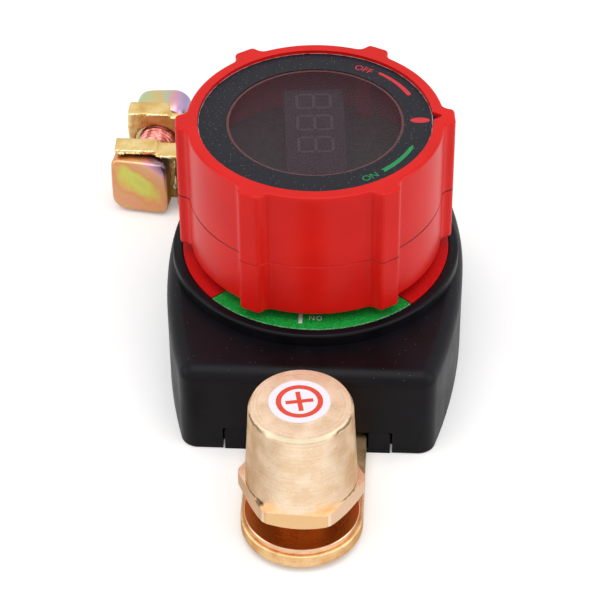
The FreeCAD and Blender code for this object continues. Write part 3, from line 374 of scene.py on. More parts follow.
chips = add(tree, "MapRange", {"Value": grain, "From Min": 0.4, "From Max": 0.6,
                               "To Min": 0.2, "To Max": 0.8})
pale = product(tree, edge, is_green, chips)
overprint = add(tree, "Math", {0: folded, 1: GREEN_FROM, 2: OVERPRINT_HALF}, operation="COMPARE")
feed(shader, Base_Color=layered(tree, sectors.outputs[2], (pale, "#B4EEC4"), (overprint, "#4A1A08")))
bumped(tree, shader, grain, 0.01, 0.5)
dress(["label_ring"], label)

# %% [markdown]
# The face is a black film, printed on its back and satin on top. It has a blue cast, holds fine
# dust, and its cut edge is a thin pale line against the red rim, broken by chips.

# %% Printed face film
FILM_R, EDGE_HALF, CHIP_MM, CHIP_MIDDLE = 20.6, 0.06, 0.35, 0.15
FINE_CELL_MM, SPECK_FULL, SPECK_END = 0.6, 0.07, 0.13


def fine_dust(tree, place, bright):
    """Soft specks; bright is how much a speck's middle covers."""
    specks = add(tree, "TexVoronoi", on_object(place, FINE_CELL_MM))
    return add(tree, "MapRange", {"Value": specks.outputs["Distance"], "From Min": SPECK_FULL,
                                  "From Max": SPECK_END, "To Min": bright, "To Max": 0.0})


film, tree, shader = finish_named("printed_face_film", IOR=1.5, Specular_IOR_Level=0.24, Roughness=0.4)
place = add(tree, "TexCoord")
grain = add(tree, "TexNoise", on_object(place, 0.5, Detail=3.0))
tone = add(tree, "ValToRGB", {"Fac": grain}, stops=[(0.4, "#0F0F18"), (0.8, "#1B1B29")])
parts = add(tree, "SeparateXYZ", {0: place.outputs["Object"]})
chips = add(tree, "TexNoise", on_object(place, 1.6, Detail=3.0))
frayed = add(tree, "Math", {0: chips, 1: CHIP_MM * MM, 2: from_axis(tree, parts)},
             operation="MULTIPLY_ADD")
cut = add(tree, "Math", {0: frayed, 1: (FILM_R + CHIP_MIDDLE) * MM, 2: EDGE_HALF * MM},
          operation="COMPARE")
dust = fine_dust(tree, place, 0.6)
feed(shader, Base_Color=layered(tree, tone, (dust, "#A9ABBF"), (cut, "#B9A8AC")))
bumped(tree, shader, grain, 0.01, 0.4)
dress(["face_film"], film)

# %% [markdown]
# The window is smoked acrylic with a red tint. Two thirds of what the eye gets are its tint, its
# gloss and a little dust. The rest goes straight through, which the shader's alpha does without the
# noise of real refraction.

# %% Smoked acrylic window
acrylic, tree, shader = finish_named("smoked_acrylic", IOR=1.49, Specular_IOR_Level=0.4, Roughness=0.3,
                                     Alpha=0.33)
dust = fine_dust(tree, add(tree, "TexCoord"), 0.5)
feed(shader, Base_Color=layered(tree, srgb("#3E2A33"), (dust, "#B5A9AD")))
dress(["window_lens"], acrylic)

# %% [markdown]
# Behind the window lie the green circuit board, coated with solder resist, and the display, a
# black epoxy block whose unlit segments are a little lighter. The tone of both drifts after one
# noise.

# %% Circuit board and display


def mottled(name, size_mm, detail, stops, **constants):
    """A finish whose colour follows one noise; returns material, tree, shader and the noise."""
    made, tree, shader = finish_named(name, **constants)
    drift = add(tree, "TexNoise", on_object(add(tree, "TexCoord"), size_mm, Detail=detail))
    feed(shader, Base_Color=add(tree, "ValToRGB", {"Fac": drift}, stops=stops))
    return made, tree, shader, drift


board = mottled("solder_resist", 1.2, 3.0, [(0.4, "#50625C"), (0.7, "#5C6E68")], Roughness=0.4)[0]
epoxy = mottled("display_epoxy", 2.0, 2.0, [(0.4, "#3A2E39"), (0.7, "#443741")], Roughness=0.5)[0]
dress(["circuit_board"], board)
dress(["display_module"], epoxy)

# %% [markdown]
# Small parts that are mostly out of sight still get their real finish: plated steel for screws,
# springs and balls, copper for the contact bridge, black rubber for the seal.

# %% Steel, copper and rubber


def plain_metal(name, light, dark, low, high):
    made, tree, shader, drift = mottled(name, 0.8, 3.0, [(0.35, dark), (0.65, light)], Metallic=1.0)
    rough = add(tree, "MapRange", {"Value": drift, "To Min": low, "To Max": high})
    feed(shader, Roughness=rough)
    bumped(tree, shader, drift, 0.01, 0.4)
    return made


dress(["cover_screws", "pressure_spring", "detent_balls", "detent_springs", "centre_washer",
       "centre_screw"], plain_metal("zinc_plated_steel", "#C9CBCE", "#9FA2A6", 0.2, 0.45))
dress(["contact_bridge"], plain_metal("rolled_copper", "#E59A72", "#C97752", 0.2, 0.4))
rubber, tree, shader, drift = mottled("nitrile_rubber", 0.6, 3.0, [(0.4, "#1B1B1C"), (0.8, "#2A2A2C")],
                                      Roughness=0.7)
bumped(tree, shader, drift, 0.02, 0.5)
dress(["shaft_seal"], rubber)

# %% [markdown]
# Sticker and printing inks. The sticker is white vinyl. Screen-printing ink lies on its carrier
# as a skin a few hundredths of a millimetre thick, so each mark is a thin plate of its own with
# slightly mottled colour.

# %% Vinyl and printing inks


def printed(name, light, dark, roughness=0.4):
    return mottled(name, 0.35, 2.0, [(0.35, dark), (0.65, light)], Roughness=roughness,
                   Specular_IOR_Level=0.3)[0]


vinyl = printed("white_vinyl", "#F7F3FC", "#F0EBF6", 0.35)
ink_red = printed("screen_ink_red", "#D8353E", "#C92A33")
ink_green = printed("screen_ink_green", "#1F9656", "#1A8349")
ink_white = printed("screen_ink_white", "#E9ECE4", "#C9D0C4")
ink_orange = printed("sticker_ink_red", "#E8553F", "#DD4733")
segment_grey = printed("unlit_segment", "#7B6771", "#6A5863", 0.5)
varnish = printed("clear_varnish_edge", "#6A3E3C", "#553231", 0.3)
dress(["post_sticker"], vinyl)

# %% [markdown]
# Mesh helpers. A plate is an outline given in millimetres, as thick as a skin of ink. A stack
# joins rings of equal length into a skin, which serves for threads, bolt heads and burrs.

# %% Mesh helpers
INK = 0.03


def piece(name, mesh, material, body):
    """Link a mesh as a piece of the object, give it its finish and let it ride."""
    made = bpy.data.objects.new(name, mesh)
    mesh.materials.append(material)
    bpy.context.scene.collection.objects.link(made)
    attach(made, body)
    print(name, "with", len(mesh.polygons), "faces on", body)
    return made


def plates(name, outlines, low):
    """One mesh of thin plates; every outline is a counter-clockwise list of points in mm."""
    verts, faces = [], []
    for points in outlines:
        start, count = len(verts), len(points)
        for level in (low, low + INK):
            verts += [(x * MM, y * MM, level * MM) for x, y in points]
        faces.append([start + count + index for index in range(count)])
        faces.append([start + index for index in reversed(range(count))])
        for index in range(count):
            after = (index + 1) % count
            faces.append([start + index, start + after, start + count + after, start + count + index])
    mesh = bpy.data.meshes.new(name)
    mesh.from_pydata(verts, [], faces)
    return mesh


def stack(name, rings, smooth=True):
    """A closed skin through rings of points in mm, with a flat cap at each end."""
    count = len(rings[0])
    verts = [Vector(point) * MM for ring in rings for point in ring]
    faces = [list(reversed(range(count))),
             [(len(rings) - 1) * count + index for index in range(count)]]
    for row in range(len(rings) - 1):
        for index in range(count):
            after = (index + 1) % count
            faces.append([row * count + index, row * count + after,
                          (row + 1) * count + after, (row + 1) * count + index])
    mesh = bpy.data.meshes.new(name)
    mesh.from_pydata(verts, [], faces)
    for polygon in mesh.polygons:
        polygon.use_smooth = smooth
    return mesh


def merged(name, meshes):
    work = bmesh.new()
    for mesh in meshes:
        work.from_mesh(mesh)
    made = bpy.data.meshes.new(name)
    work.to_mesh(made)
    work.free()
    return made


def polar(radius, degrees):
    return radius * math.cos(math.radians(degrees)), radius * math.sin(math.radians(degrees))


# %% [markdown]
# The knob's face carries two curved bars, one red towards OFF and one green towards ON, and a red
# dot under the pointer. Each bar follows the rim and changes its width from end to end. A thickened
# curve would have round ends only, so the outlines are worked out point by point.

# %% Bars and dot on the face
FACE_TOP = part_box("face_film")[1][2] / MM
STEPS = 24
END_STEPS = 8
BAR_R = 18.4


def curved_bar(start, end, half_start, half_end, tip, tail):
    """A bar round the axis. Tip is the length of its point, and tail is what ends it."""
    outer, inner = [], []
    way = 1 if end > start else -1
    per_degree = math.radians(BAR_R)
    for step in range(STEPS + 1):
        share = step / STEPS
        half = half_start + (half_end - half_start) * share
        outer.append(polar(BAR_R + half, start + (end - start) * share))
        inner.append(polar(BAR_R - half, start + (end - start) * share))
    if tail == "round":
        turns = [math.pi * step / END_STEPS for step in range(1, END_STEPS)]
        ends = [polar(BAR_R + half_end * math.cos(turn),
                      end + way * half_end * math.sin(turn) / per_degree) for turn in turns]
    else:
        ends = [polar(BAR_R, end - way * half_end * 0.7 / per_degree)]
    points = outer + ends + inner[::-1] + [polar(BAR_R, start - way * tip / per_degree)]
    return points if end > start else points[::-1]


def oval(centre, along, across, degrees):
    """An oval whose long half-width points along one direction."""
    x, y = polar(centre, degrees)
    c, s = polar(1.0, degrees)
    points = []
    for step in range(STEPS * 2):
        u, v = polar(1.0, 180 * step / STEPS)
        du, dv = u * along, v * across
        points.append((x + du * c - dv * s, y + du * s + dv * c))
    return points


MARKS = [("off_bar", ink_red, curved_bar(start=53.6, end=28.2, half_start=0.3, half_end=0.42,
                                         tip=0.3, tail="round")),
         ("on_bar", ink_green, curved_bar(start=-22.6, end=-48.6, half_start=0.36, half_end=0.46,
                                          tip=0.85, tail="notched")),
         ("dot", ink_red, oval(BAR_R, along=1.72, across=0.76, degrees=3.0))]
for name, ink, points in MARKS:
    piece("face_" + name, plates(name, [points], FACE_TOP), ink, "knob")

# %% [markdown]
# The words OFF and ON stand at the bars' ends. Text objects can't be bent round an arc easily, so
# each letter is set by itself, as a typesetter would, and a word is joined from its letters.

# %% Words on the face
CAPITAL_SHARE, LETTER_HIGH = 0.7, 1.4


def letter(character, height, place, degrees, narrow=1.0):
    """The mesh of one letter, upright towards the given direction, as a thin plate."""
    curve = bpy.data.curves.new("letter", "FONT")
    curve.body = character
    curve.align_x = "CENTER"
    curve.size = height / CAPITAL_SHARE * MM
    curve.extrude = INK / 2 * MM
    curve.resolution_u = 6
    glyph = bpy.data.objects.new("letter", curve)
    bpy.context.scene.collection.objects.link(glyph)
    mesh = bpy.data.meshes.new_from_object(glyph.evaluated_get(bpy.context.evaluated_depsgraph_get()))
    bpy.data.objects.remove(glyph)
    mesh.transform(Matrix.Translation(Vector(place) * MM)
                   @ Matrix.Rotation(math.radians(degrees - 90), 4, "Z")
                   @ Matrix.Translation((0.0, -height / 2 * MM, 0.0))
                   @ Matrix.Diagonal((narrow, 1.0, 1.0, 1.0)))
    return mesh


def lettering(name, radius, degrees, tops):
    """Letters round the axis; tops is the direction of each letter's top from its own place."""
    return merged(name, [
        letter(character, LETTER_HIGH, (*polar(radius, where), FACE_TOP + INK / 2), where + tops)
        for character, where in zip(name, degrees)])


piece("face_off_word", lettering("OFF", 17.9, (66.3, 62.2, 59.2), 0), ink_red, "knob")
piece("face_on_word", lettering("ON", 18.5, (-59.2, -54.4), 180), ink_green, "knob")

# %% [markdown]
# The label carries a white bar and the word ON in the middle of the green part. The word stands on
# its head from the front, because it is read from the knob's side.

# %% Marks on the label
LABEL_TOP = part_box("label_ring")[1][2] / MM
LEFT, RIGHT, NEAR, FAR = -2.05, -1.35, -22.64, -20.2
WORD_HIGH, WORD_Y = 1.15, -21.2
bar = [(LEFT, NEAR), (RIGHT, NEAR), (RIGHT, FAR), (LEFT, FAR)]
word = [letter(character, WORD_HIGH, (x, WORD_Y, LABEL_TOP + INK / 2), -90, narrow)
        for character, x, narrow in (("N", 0.28, 0.88), ("O", 1.58, 0.8))]
piece("label_bar", plates("label_bar", [bar], LABEL_TOP), ink_white, "base")
piece("label_on_word", merged("label_on", word), ink_white, "base")

# %% [markdown]
# The sticker on the post is printed with a ring and a plus, the sign of the positive pole. It was
# stuck on by hand, so both sit a little off the middle and turned.

# %% Ring and plus on the sticker
STICKER_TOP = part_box("post_sticker")[1][2] / MM
MARK_XY = (-0.25, -52.1)
SECTORS = 72


def ring_plates(name, centre, outer, inner, low):
    """A flat ring as short sectors that share their ends."""
    outlines = []
    for step in range(SECTORS):
        first, last = 360 * step / SECTORS, 360 * (step + 1) / SECTORS
        corners = [polar(inner, first), polar(outer, first), polar(outer, last), polar(inner, last)]
        outlines.append([(centre[0] + x, centre[1] + y) for x, y in corners])
    return plates(name, outlines, low)


def plus_outline(centre, half, thick, degrees):
    t = thick / 2
    corners = [(t, t), (t, half), (-t, half), (-t, t), (-half, t), (-half, -t), (-t, -t), (-t, -half),
               (t, -half), (t, -t), (half, -t), (half, t)]
    c, s = polar(1.0, degrees)
    return [(centre[0] + x * c - y * s, centre[1] + x * s + y * c) for x, y in corners]


ring = ring_plates("ring", MARK_XY, outer=3.9, inner=3.02, low=STICKER_TOP)
plus = plates("plus", [plus_outline(MARK_XY, half=2.3, thick=0.78, degrees=11)], STICKER_TOP)
piece("sticker_ring", ring, ink_orange, "post")
piece("sticker_plus", plus, ink_orange, "post")

# %% [markdown]
# The display shows three figures, lying on their sides across the module. A figure has seven bars
# with pointed ends, and here none is lit. They are built square to the module and turned with the
# knob, which rests a few degrees past its dimple.

# %% Display figures
DISPLAY_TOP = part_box("display_module")[1][2] / MM
KNOB_REST = 4.5
FIGURES_Y = (-3.9, 2.5, 8.9)
SEGMENT_THICK = 0.55


def segment(centre, length, upright_bar):
    half, t = length / 2, SEGMENT_THICK / 2
    points = [(-half, 0.0), (-half + t, -t), (half - t, -t), (half, 0.0), (half - t, t), (-half + t, t)]
    if upright_bar:
        points = [(-y, x) for x, y in points]
    return [(centre[0] + x, centre[1] + y) for x, y in points]


def figure(middle_y):
    """All seven bars of one figure, 6.4 mm tall along X and 4.4 mm wide along Y."""
    bars = [segment((x, middle_y), 4.0, True) for x in (-3.0, 0.0, 3.0)]
    bars += [segment((x, middle_y + y), 2.7, False) for x in (-1.5, 1.5) for y in (-2.05, 2.05)]
    return bars


digits = plates("digits", [bar for middle in FIGURES_Y for bar in figure(middle)], DISPLAY_TOP)
digits.transform(Matrix.Rotation(math.radians(KNOB_REST), 4, "Z"))
piece("display_figures", digits, segment_grey, "knob")

# %% [markdown]
# The window's edge is a ring of clear varnish, where the black print stops short of the cut, so the
# red of the knob glows through it.

# %% Edge of the window
EDGE_OUTER, EDGE_INNER = 15.64, 15.15
LENS_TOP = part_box("window_lens")[1][2] / MM
edge_ring = ring_plates("edge_ring", (0.0, 0.0), EDGE_OUTER, EDGE_INNER, LENS_TOP)
piece("window_edge_ring", edge_ring, varnish, "knob")

# %% [markdown]
# Threads. A thread is a cylinder whose radius rises and falls along a helix. The solids keep plain
# cylinders, because a thread would make them heavy, so here a threaded mesh takes the place of the
# stud and of the clamp's bolt, with its crests at the solid's own radius.

# %% Threaded rods
ROUND = 64
PER_PITCH = 8
CREST, FLANKS, BEVEL = 0.12, 0.76, 0.8


def threaded_rings(radius, low, high, pitch, depth):
    """Rings of a threaded rod along Z, with a chamfered end at the top."""
    rings = []
    rows = int((high - low) / pitch * PER_PITCH)
    for row in range(rows + 1):
        z = low + (high - low) * row / rows
        limit = radius - max(0.0, BEVEL - (high - z))
        ring = []
        for step in range(ROUND):
            phase = (z / pitch - step / ROUND) % 1.0
            wave = min(1.0, max(0.0, (abs(phase - 0.5) * 2 - CREST) / FLANKS))
            reach = min(limit, radius - depth * wave)
            ring.append((*polar(reach, 360 * step / ROUND), z))
        rings.append(ring)
    return rings


def circle(radius, z):
    return [(*polar(radius, 360 * step / ROUND), z) for step in range(ROUND)]


STRAP_LOW, STRAP_TOP = 1.2, 3.7
RIVET_R, RIVET_HIGH, STUD_R, STUD_HIGH = 4.8, 1.25, 4.0, 14.5
foot = [circle(RIVET_R, STRAP_LOW), circle(RIVET_R, STRAP_LOW + RIVET_HIGH),
        circle(STUD_R, STRAP_LOW + RIVET_HIGH), circle(STUD_R, STRAP_TOP)]
thread = threaded_rings(STUD_R, STRAP_TOP + 0.05, STRAP_TOP + STUD_HIGH, pitch=1.25, depth=0.6)
stud_mesh = stack("stud", foot + thread, smooth=False)
stud_mesh.transform(Matrix.Translation((0.0, POST_XY[1] * MM, 0.0)))
stud = piece("threaded_stud", stud_mesh, strap_brass, "base")
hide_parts("terminal_stud")

# %% [markdown]
# Yellow passivated zinc. The bolt and nut of the clamp are steel, plated with zinc and dipped in
# chromate, which leaves a film that splits light into lime, gold, pink and lilac. Its thickness,
# and so its colour, goes in rings round the place that dried last. The distance from that place is
# measured longer one way than the other, stirred by a noise, and picks the colour from a ramp.

# %% Yellow passivated zinc
SWIRL_MM, SWIRL = 2.6, 1.7
BANDS_FROM, BANDS_TO = 0.85, 6.4


def passivated(name, centre, long_way, short_way, half_long, half_short, lean, stops):
    """Oval bands of colour; the half axes, in mm, are those of the band where the distance is one."""
    made, tree, shader = finish_named(name, Metallic=1.0)
    place = add(tree, "TexCoord")
    moved = add(tree, "VectorMath", {0: place.outputs["Object"], 1: [value * MM for value in centre]},
                operation="SUBTRACT")
    scaled = add(tree, "VectorMath", {0: moved, "Scale": 1 / MM}, operation="SCALE")
    down, over = (add(tree, "VectorMath", {0: scaled, 1: [value / half for value in way]},
                      operation="DOT_PRODUCT").outputs["Value"]
                  for way, half in ((long_way, half_long), (short_way, half_short)))
    both = add(tree, "CombineXYZ", {0: down, 1: over})
    away = add(tree, "VectorMath", {0: both}, operation="LENGTH").outputs["Value"]
    leant = add(tree, "Math", {0: over, 1: lean, 2: away}, operation="MULTIPLY_ADD")
    swirl = add(tree, "TexNoise", on_object(place, SWIRL_MM, Detail=2.5))
    stirred = add(tree, "Math", {0: swirl, 1: SWIRL, 2: leant}, operation="MULTIPLY_ADD")
    share = add(tree, "MapRange", {"Value": stirred, "From Min": BANDS_FROM, "From Max": BANDS_TO})
    tone = add(tree, "ValToRGB", {"Fac": share}, stops=stops)
    fine = add(tree, "TexNoise", on_object(place, 0.7, Detail=3.0))
    rough = add(tree, "MapRange", {"Value": fine, "To Min": 0.24, "To Max": 0.42})
    feed(shader, Base_Color=tone, Roughness=rough)
    bumped(tree, shader, fine, 0.015, 0.5)
    return made


# %% [markdown]
# The bolt's head shows a lime oval that leans across its face, in gold and pink. The nut's top shows
# broad bands along its edge. The thread was wetted longest and has gone pink all over.

# %% Colours of the bolt, the nut and the thread
OVAL_LEAN_DEG = 39
c, s = polar(1.0, OVAL_LEAN_DEG)
zinc_bolt = passivated(
    "yellow_passivated_bolt", centre=(-36.4, 32.0, 8.4), long_way=(c, 0.0, -s), short_way=(s, 0.0, c),
    half_long=3.6, half_short=1.45, lean=0.35, stops=[
     (0.0, "#D0CC70"), (0.15, "#D6D76A"), (0.24, "#DBBD6A"), (0.31, "#E49A74"), (0.38, "#DCAE74"),
     (0.47, "#E7A184"), (0.56, "#DDB27C"), (0.68, "#F0A7A6"), (0.82, "#BE96A6"), (0.95, "#947A8B")])
zinc_nut = passivated(
    "yellow_passivated_nut", centre=(-40.0, 52.0, 12.0), long_way=(0.0, 1.0, 0.0),
    short_way=(1.0, 0.0, 0.2), half_long=20.0, half_short=2.2, lean=0.0, stops=[
     (0.0, "#D9C98A"), (0.15, "#BDD4A6"), (0.35, "#D1CC95"), (0.5, "#E1C286"), (0.62, "#BBCBAE"),
     (0.72, "#E4ABAA"), (0.85, "#CBA3CA"), (0.95, "#AB9FC2")])
thread_zinc = plain_metal("passivated_thread", "#F0A098", "#A85A52", 0.26, 0.4)
print("finishes:", zinc_bolt.name, zinc_nut.name, thread_zinc.name)

# %% [markdown]
# The bolt's head and the nut are forged cushions, with round corners, bowed sides and a domed face.
# A stack of rounded squares makes both. Each ring is a square whose corners are arcs, and the rings
# shrink towards the domed end.

# %% Forged cushions
HEAD_WIDE, HEAD_TALL = 11.2, 12.1
PER_CORNER, PER_SIDE, CROWN_STEPS, DOME_STEPS = 10, 10, 5, 8
BOW, FOOT_BEVEL = 0.03, 0.25


def rounded_block(inset, corners, z):
    """A ring with four bowed flats and four arc corners: low right, low left, high left, high right."""
    halves = (HEAD_WIDE / 2 - inset, HEAD_TALL / 2 - inset)
    points = []
    for quarter in range(4):
        c, s = polar(1.0, 90 * quarter)
        across, along = halves if quarter % 2 == 0 else halves[::-1]
        corner = min(corners[quarter], across)
        for step in range(PER_CORNER):
            u, v = polar(corner, 90 * step / (PER_CORNER - 1))
            x, y = across - corner + u, along - corner + v
            points.append((x * c - y * s, x * s + y * c))
        after = min(corners[(quarter + 1) % 4], across)
        for step in range(1, PER_SIDE):
            t = across - corner - (2 * across - corner - after) * step / PER_SIDE
            points.append((t * c - along * s, t * s + along * c))
    return [(x * (1 - BOW * (y / halves[1]) ** 2), y * (1 - BOW * (x / halves[0]) ** 2), z)
            for x, y in points]


def cushion(corners, crown, seat_z, face_z, dome):
    """Rings from the flat seat to the domed face."""
    way = 1 if face_z > seat_z else -1
    rings = [rounded_block(FOOT_BEVEL, corners, seat_z),
             rounded_block(0.0, corners, seat_z + way * FOOT_BEVEL)]
    for step in range(CROWN_STEPS + 1):
        turn = math.pi / 2 * step / CROWN_STEPS
        inset, rise = crown * (1 - math.cos(turn)), crown * math.sin(turn)
        rings.append(rounded_block(inset, corners, face_z - way * (dome + crown - rise)))
    for step in range(1, DOME_STEPS + 1):
        share = 1 - step / (DOME_STEPS + 0.5)
        inset = HEAD_WIDE / 2 - (HEAD_WIDE / 2 - crown) * share
        shrunk = [max(corner * share, 0.01) for corner in corners]
        rings.append(rounded_block(inset, shrunk, face_z - way * dome * share ** 2))
    return rings


# %% [markdown]
# Head, shank and nut stand on Z while they are built, and are then laid along the bolt, which sits a
# little askew in its holes. The nut is turned against the head and sits a little high on its thread.

# %% Bolt and nut of the clamp
BOLT_X, BOLT_Y, BOLT_Z = -34.873, 42.9, 6.5
BOLT_SKEW = math.radians(8.5)
SEAT, HEAD_THICK, NUT_THICK, BOLT_R = 6.95, 4.0, 7.6, 3.8
NUT_TURN, NUT_HIGHER = 9.0, 0.3
SHANK_HIDDEN, SHANK_OUT = 0.2, 1.2


def along_bolt(mesh):
    """Lay a mesh that stands on Z along the bolt's own axis, through the clamp's middle."""
    axis = Vector((math.sin(BOLT_SKEW), math.cos(BOLT_SKEW), 0.0))
    side = Vector((math.cos(BOLT_SKEW), -math.sin(BOLT_SKEW), 0.0))
    turn = Matrix((side, Vector((0.0, 0.0, -1.0)), axis)).transposed().to_4x4()
    mesh.transform(Matrix.Translation(Vector((BOLT_X, BOLT_Y, BOLT_Z)) * MM) @ turn)
    return mesh


head = stack("head", cushion((1.6, 2.6, 1.2, 1.2), crown=0.6, seat_z=-SEAT,
                             face_z=-SEAT - HEAD_THICK, dome=0.3)[::-1])
bolt = piece("clamp_bolt_head", along_bolt(head), zinc_bolt, "base")
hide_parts("clamp_bolt")
shank = stack("shank", threaded_rings(BOLT_R, -SEAT - SHANK_HIDDEN, SEAT + NUT_THICK + SHANK_OUT,
                                      pitch=1.0, depth=0.4))
piece("clamp_bolt_thread", along_bolt(shank), thread_zinc, "base")
nut_mesh = stack("nut", cushion((2.8, 2.8, 2.8, 2.8), crown=0.9, seat_z=SEAT,
                                face_z=SEAT + NUT_THICK, dome=0.2))
nut_mesh.transform(Matrix.Translation((0.0, -NUT_HIGHER * MM, 0.0))
                   @ Matrix.Rotation(math.radians(-NUT_TURN), 4, "Z"))
nut = piece("clamp_square_nut", along_bolt(nut_mesh), zinc_nut, "base")
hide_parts("clamp_nut")

# %% [markdown]
# Sand-cast brass. The clamp was poured in a sand mould and tumbled. Its skin keeps the grain of the
# sand, which scatters the light, and is stained a little from place to place.

# %% Cast brass
cast, tree, shader = finish_named("sand_cast_brass", Metallic=1.0)
place = add(tree, "TexCoord")
sand = add(tree, "TexNoise", on_object(place, 0.45, Detail=4.0, Roughness=0.65))
stain = add(tree, "TexNoise", on_object(place, 3.5, Detail=4.0))
tone = add(tree, "ValToRGB", {"Fac": stain},
           stops=[(0.3, "#D2A655"), (0.5, "#E8C883"), (0.7, "#F2DB9E")])
rough = add(tree, "MapRange", {"Value": sand, "From Min": 0.3, "From Max": 0.7,
                               "To Min": 0.34, "To Max": 0.6})
feed(shader, Base_Color=tone, Roughness=rough)
bumped(tree, shader, sand, 0.12, 1.0)
print("finish:", cast.name)

# %% [markdown]
# The casting is also slightly wavy, and every edge is soft, while the solid has crisp edges. A voxel
# remesh gives its copy an even skin, smoothing rounds the edges, and two noises move the skin in and
# out: a slow one for the waves and a fine one for the grain. It never sinks below its own foot.

# %% Sand-cast clamp
VOXEL_MM = 0.34
WAVE_MM, GRAIN_MM, SWING_MM = 4.0, 0.9, 0.12
CAST_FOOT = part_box("battery_clamp")[0][2]
rough_copy = bpy.data.objects.new("clamp_copy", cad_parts["battery_clamp"].data.copy())
bpy.context.scene.collection.objects.link(rough_copy)
remesh = rough_copy.modifiers.new("even_skin", "REMESH")
remesh.mode = "VOXEL"
remesh.voxel_size = VOXEL_MM * MM
bpy.context.view_layer.update()
cast_mesh = bpy.data.meshes.new_from_object(
    rough_copy.evaluated_get(bpy.context.evaluated_depsgraph_get()))
bpy.data.objects.remove(rough_copy)

work = bmesh.new()
work.from_mesh(cast_mesh)
for _ in range(2):
    bmesh.ops.smooth_vert(work, verts=work.verts, factor=0.5, use_axis_x=True, use_axis_y=True,
                          use_axis_z=True)
work.normal_update()
moves = []
for vert in work.verts:
    slow = noise.noise(vert.co * per_mm(WAVE_MM))
    fine = noise.noise(vert.co * per_mm(GRAIN_MM))
    moves.append(vert.normal * ((slow * SWING_MM + fine * SWING_MM - SWING_MM) * MM))
for vert, move in zip(work.verts, moves):
    vert.co += move
    vert.co.z = max(vert.co.z, CAST_FOOT)
for face in work.faces:
    face.smooth = True
work.to_mesh(cast_mesh)
work.free()
cast_mesh.materials.clear()
clamp = piece("cast_clamp", cast_mesh, cast, "base")
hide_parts("battery_clamp")

# %% [markdown]
# Where the casting was trimmed, the shears left a burr, a thin lip along the edges, painted pale as
# a painted highlight for the light that the edges catch. Each is a bead whose thickness jumps about,
# laid along an edge of the casting and pushed a little outward.

# %% Trimming burrs
BURR_SIZE, BURR_STEP = 0.5, 0.2
JAG_LEAST, JAG_SWING, JAG_PACE = 0.35, 2.0, 0.45
# painted highlight: the burrs' brass is far paler than the casting, for the light the edges catch
painted_highlight_brass = plain_metal("sheared_brass_burr_painted_highlight", "#FFF8D6", "#FFF0B8", 0.35, 0.5)


def burr(start, end, outward, seed):
    """A jagged bead along an edge; its size and place swing with a seeded noise."""
    start, end, outward = Vector(start), Vector(end), Vector(outward).normalized()
    rows = max(4, int((end - start).length / BURR_STEP))
    over = (end - start).normalized().cross(outward)
    rings = []
    for row in range(rows + 1):
        share = row / rows
        jag = JAG_LEAST + JAG_SWING * abs(noise.noise(Vector((row * JAG_PACE, seed, 0.0))))
        ends = min(1.0, share * rows / 2, (1 - share) * rows / 2) * 0.9 + 0.1
        centre = start.lerp(end, share) + outward * (0.25 * jag - 0.15)
        ring = []
        for corner in range(8):
            u, v = polar(BURR_SIZE * jag * ends, 45 * corner)
            ring.append(centre + outward * u * 0.9 + over * v * 0.7)
        rings.append(ring)
    return stack("burr", rings)


FRONT, UP, CORNER = (0.0, -1.0, 0.0), (0.0, -1.0, 1.0), (-1.0, -1.0, 0.0)
BURRS = [((-41.0, 34.75, 13.7), (-33.0, 34.75, 13.7), UP),
         ((-40.6, 34.7, 13.3), (-36.0, 34.7, 13.3), FRONT),
         ((-39.7, 46.8, 13.7), (-37.6, 46.8, 13.7), UP),
         ((-36.2, 46.8, 13.65), (-31.6, 46.8, 13.65), UP),
         ((-32.5, 33.95, 13.05), (-29.3, 33.95, 13.05), UP),
         ((-31.3, 46.8, 13.0), (-28.4, 46.8, 13.0), UP),
         ((-29.3, 33.8, 12.2), (-29.3, 33.8, 10.6), CORNER),
         ((-29.3, 33.8, 8.6), (-29.3, 33.8, 5.4), CORNER)]
burrs = merged("burrs", [burr(*ends, seed) for seed, ends in enumerate(BURRS)])
piece("casting_burrs", burrs, painted_highlight_brass, "base")

# %% [markdown]
# The set stands on a pale paper floor. A little light of its own, which only the camera sees, lifts
# it to white without lighting the object, and the object's shadow stays on it.

# %% Floor
FLOOR_HALF, FLOOR_DROP, FLOOR_GLOW = 3000, 0.02, 0.2


def sheet(name, low_xy_mm, high_xy_mm, level_mm, material):
    """A flat rectangle between two corners."""
    (x0, y0), (x1, y1) = low_xy_mm, high_xy_mm
    corners = [(x0, y0), (x1, y0), (x1, y1), (x0, y1)]
    mesh = bpy.data.meshes.new(name)
    mesh.from_pydata([(x * MM, y * MM, level_mm * MM) for x, y in corners], [], [[0, 1, 2, 3]])
    mesh.materials.append(material)
    made = bpy.data.objects.new(name, mesh)
    bpy.context.scene.collection.objects.link(made)
    return made


paper, tree, shader, _ = mottled("studio_paper", 30.0, 2.0, [(0.3, "#FAFAFA"), (0.7, "#FCFCFC")],
                                 Roughness=0.9, Specular_IOR_Level=0.1, Emission_Color=srgb("#FFFFFF"))
ray = add(tree, "LightPath")
lift = add(tree, "MapRange", {"Value": ray.outputs["Is Camera Ray"], "To Max": FLOOR_GLOW})
feed(shader, Emission_Strength=lift)
floor = sheet("floor", (-FLOOR_HALF, -FLOOR_HALF), (FLOOR_HALF, FLOOR_HALF), 0.0, paper)
floor.location.z = -FLOOR_DROP * MM
print("floor", 2 * FLOOR_HALF, "mm wide")

# %% [markdown]
# The world gives soft light from all round. Metal and gloss see a white surrounding, as the camera
# does, while the world lights the object itself at a little over half that strength, so that a
# colour renders as written.

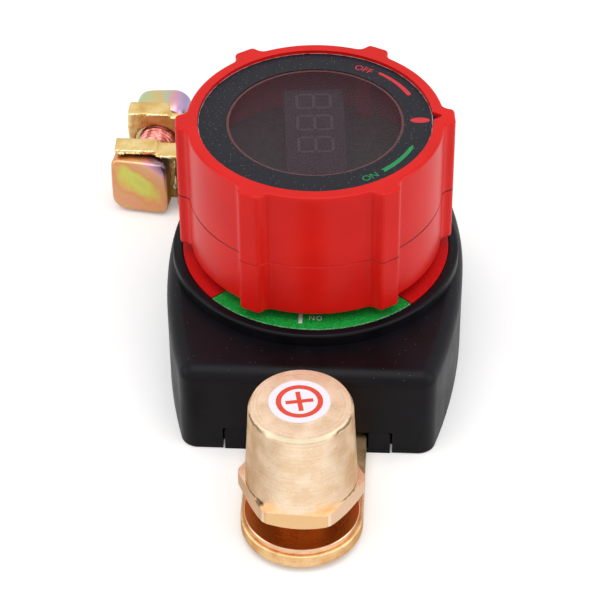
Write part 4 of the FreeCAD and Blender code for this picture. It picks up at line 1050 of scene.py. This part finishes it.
# %% World
LIGHT, LIGHT_SEEN = 0.5, 0.9
world = bpy.data.worlds.new("studio")
bpy.context.scene.world = world
world.use_nodes = True
tree = world.node_tree
backdrop = tree.nodes["Background"]
ray = add(tree, "LightPath")
seen = ray.outputs["Is Camera Ray"]
for kind in ("Is Glossy Ray", "Is Transmission Ray"):
    seen = add(tree, "Math", {0: seen, 1: ray.outputs[kind]}, operation="MAXIMUM")
strength = add(tree, "MapRange", {"Value": seen, "To Min": LIGHT, "To Max": LIGHT_SEEN})
feed(backdrop, Strength=strength)
backdrop.inputs["Color"].default_value = [1.0, 1.0, 1.0, 1.0]
print("world", world.name)

# %% [markdown]
# There are three soft lamps: a wide one above and a weak box at each side. Two grey cards lie beside
# the post, out of the camera's sight. Metal has no shade of its own, so a photographer gives it dark
# cards to reflect, which model its round sides.

# %% Cards and lamps
CARD_LEVEL = 0.1


def card(name, low_xy_mm, high_xy_mm, tone):
    """A grey card lying on the floor, which only shows in reflections."""
    made = sheet(name, low_xy_mm, high_xy_mm, CARD_LEVEL, printed(name + "_board", tone, tone, 0.9))
    for way in ("camera", "diffuse", "transmission", "volume_scatter", "shadow"):
        setattr(made, "visible_" + way, False)
    print(name, tone)


def softbox(name, place_mm, aim_mm, width_mm, height_mm, power):
    lamp = bpy.data.lights.new(name, "AREA")
    lamp.shape = "RECTANGLE"
    lamp.size, lamp.size_y = width_mm * MM, height_mm * MM
    lamp.energy = power
    made = bpy.data.objects.new(name, lamp)
    made.location = Vector(place_mm) * MM
    made.rotation_euler = (Vector(aim_mm) - Vector(place_mm)).to_track_quat("-Z", "Y").to_euler()
    bpy.context.scene.collection.objects.link(made)
    print(name, power, "W")


card("card_left", (-90, -90), (-19, -38), "#D0CAC4")
card("card_right", (25, -80), (90, -40), "#D8D2CC")
softbox("softbox_above", (0, -200, 900), (0, 0, 0), 1000, 800, 4.8)
softbox("softbox_left", (-600, -150, 260), (0, 0, 20), 300, 400, 0.7)
softbox("softbox_right", (600, -150, 260), (0, 0, 20), 300, 400, 0.9)
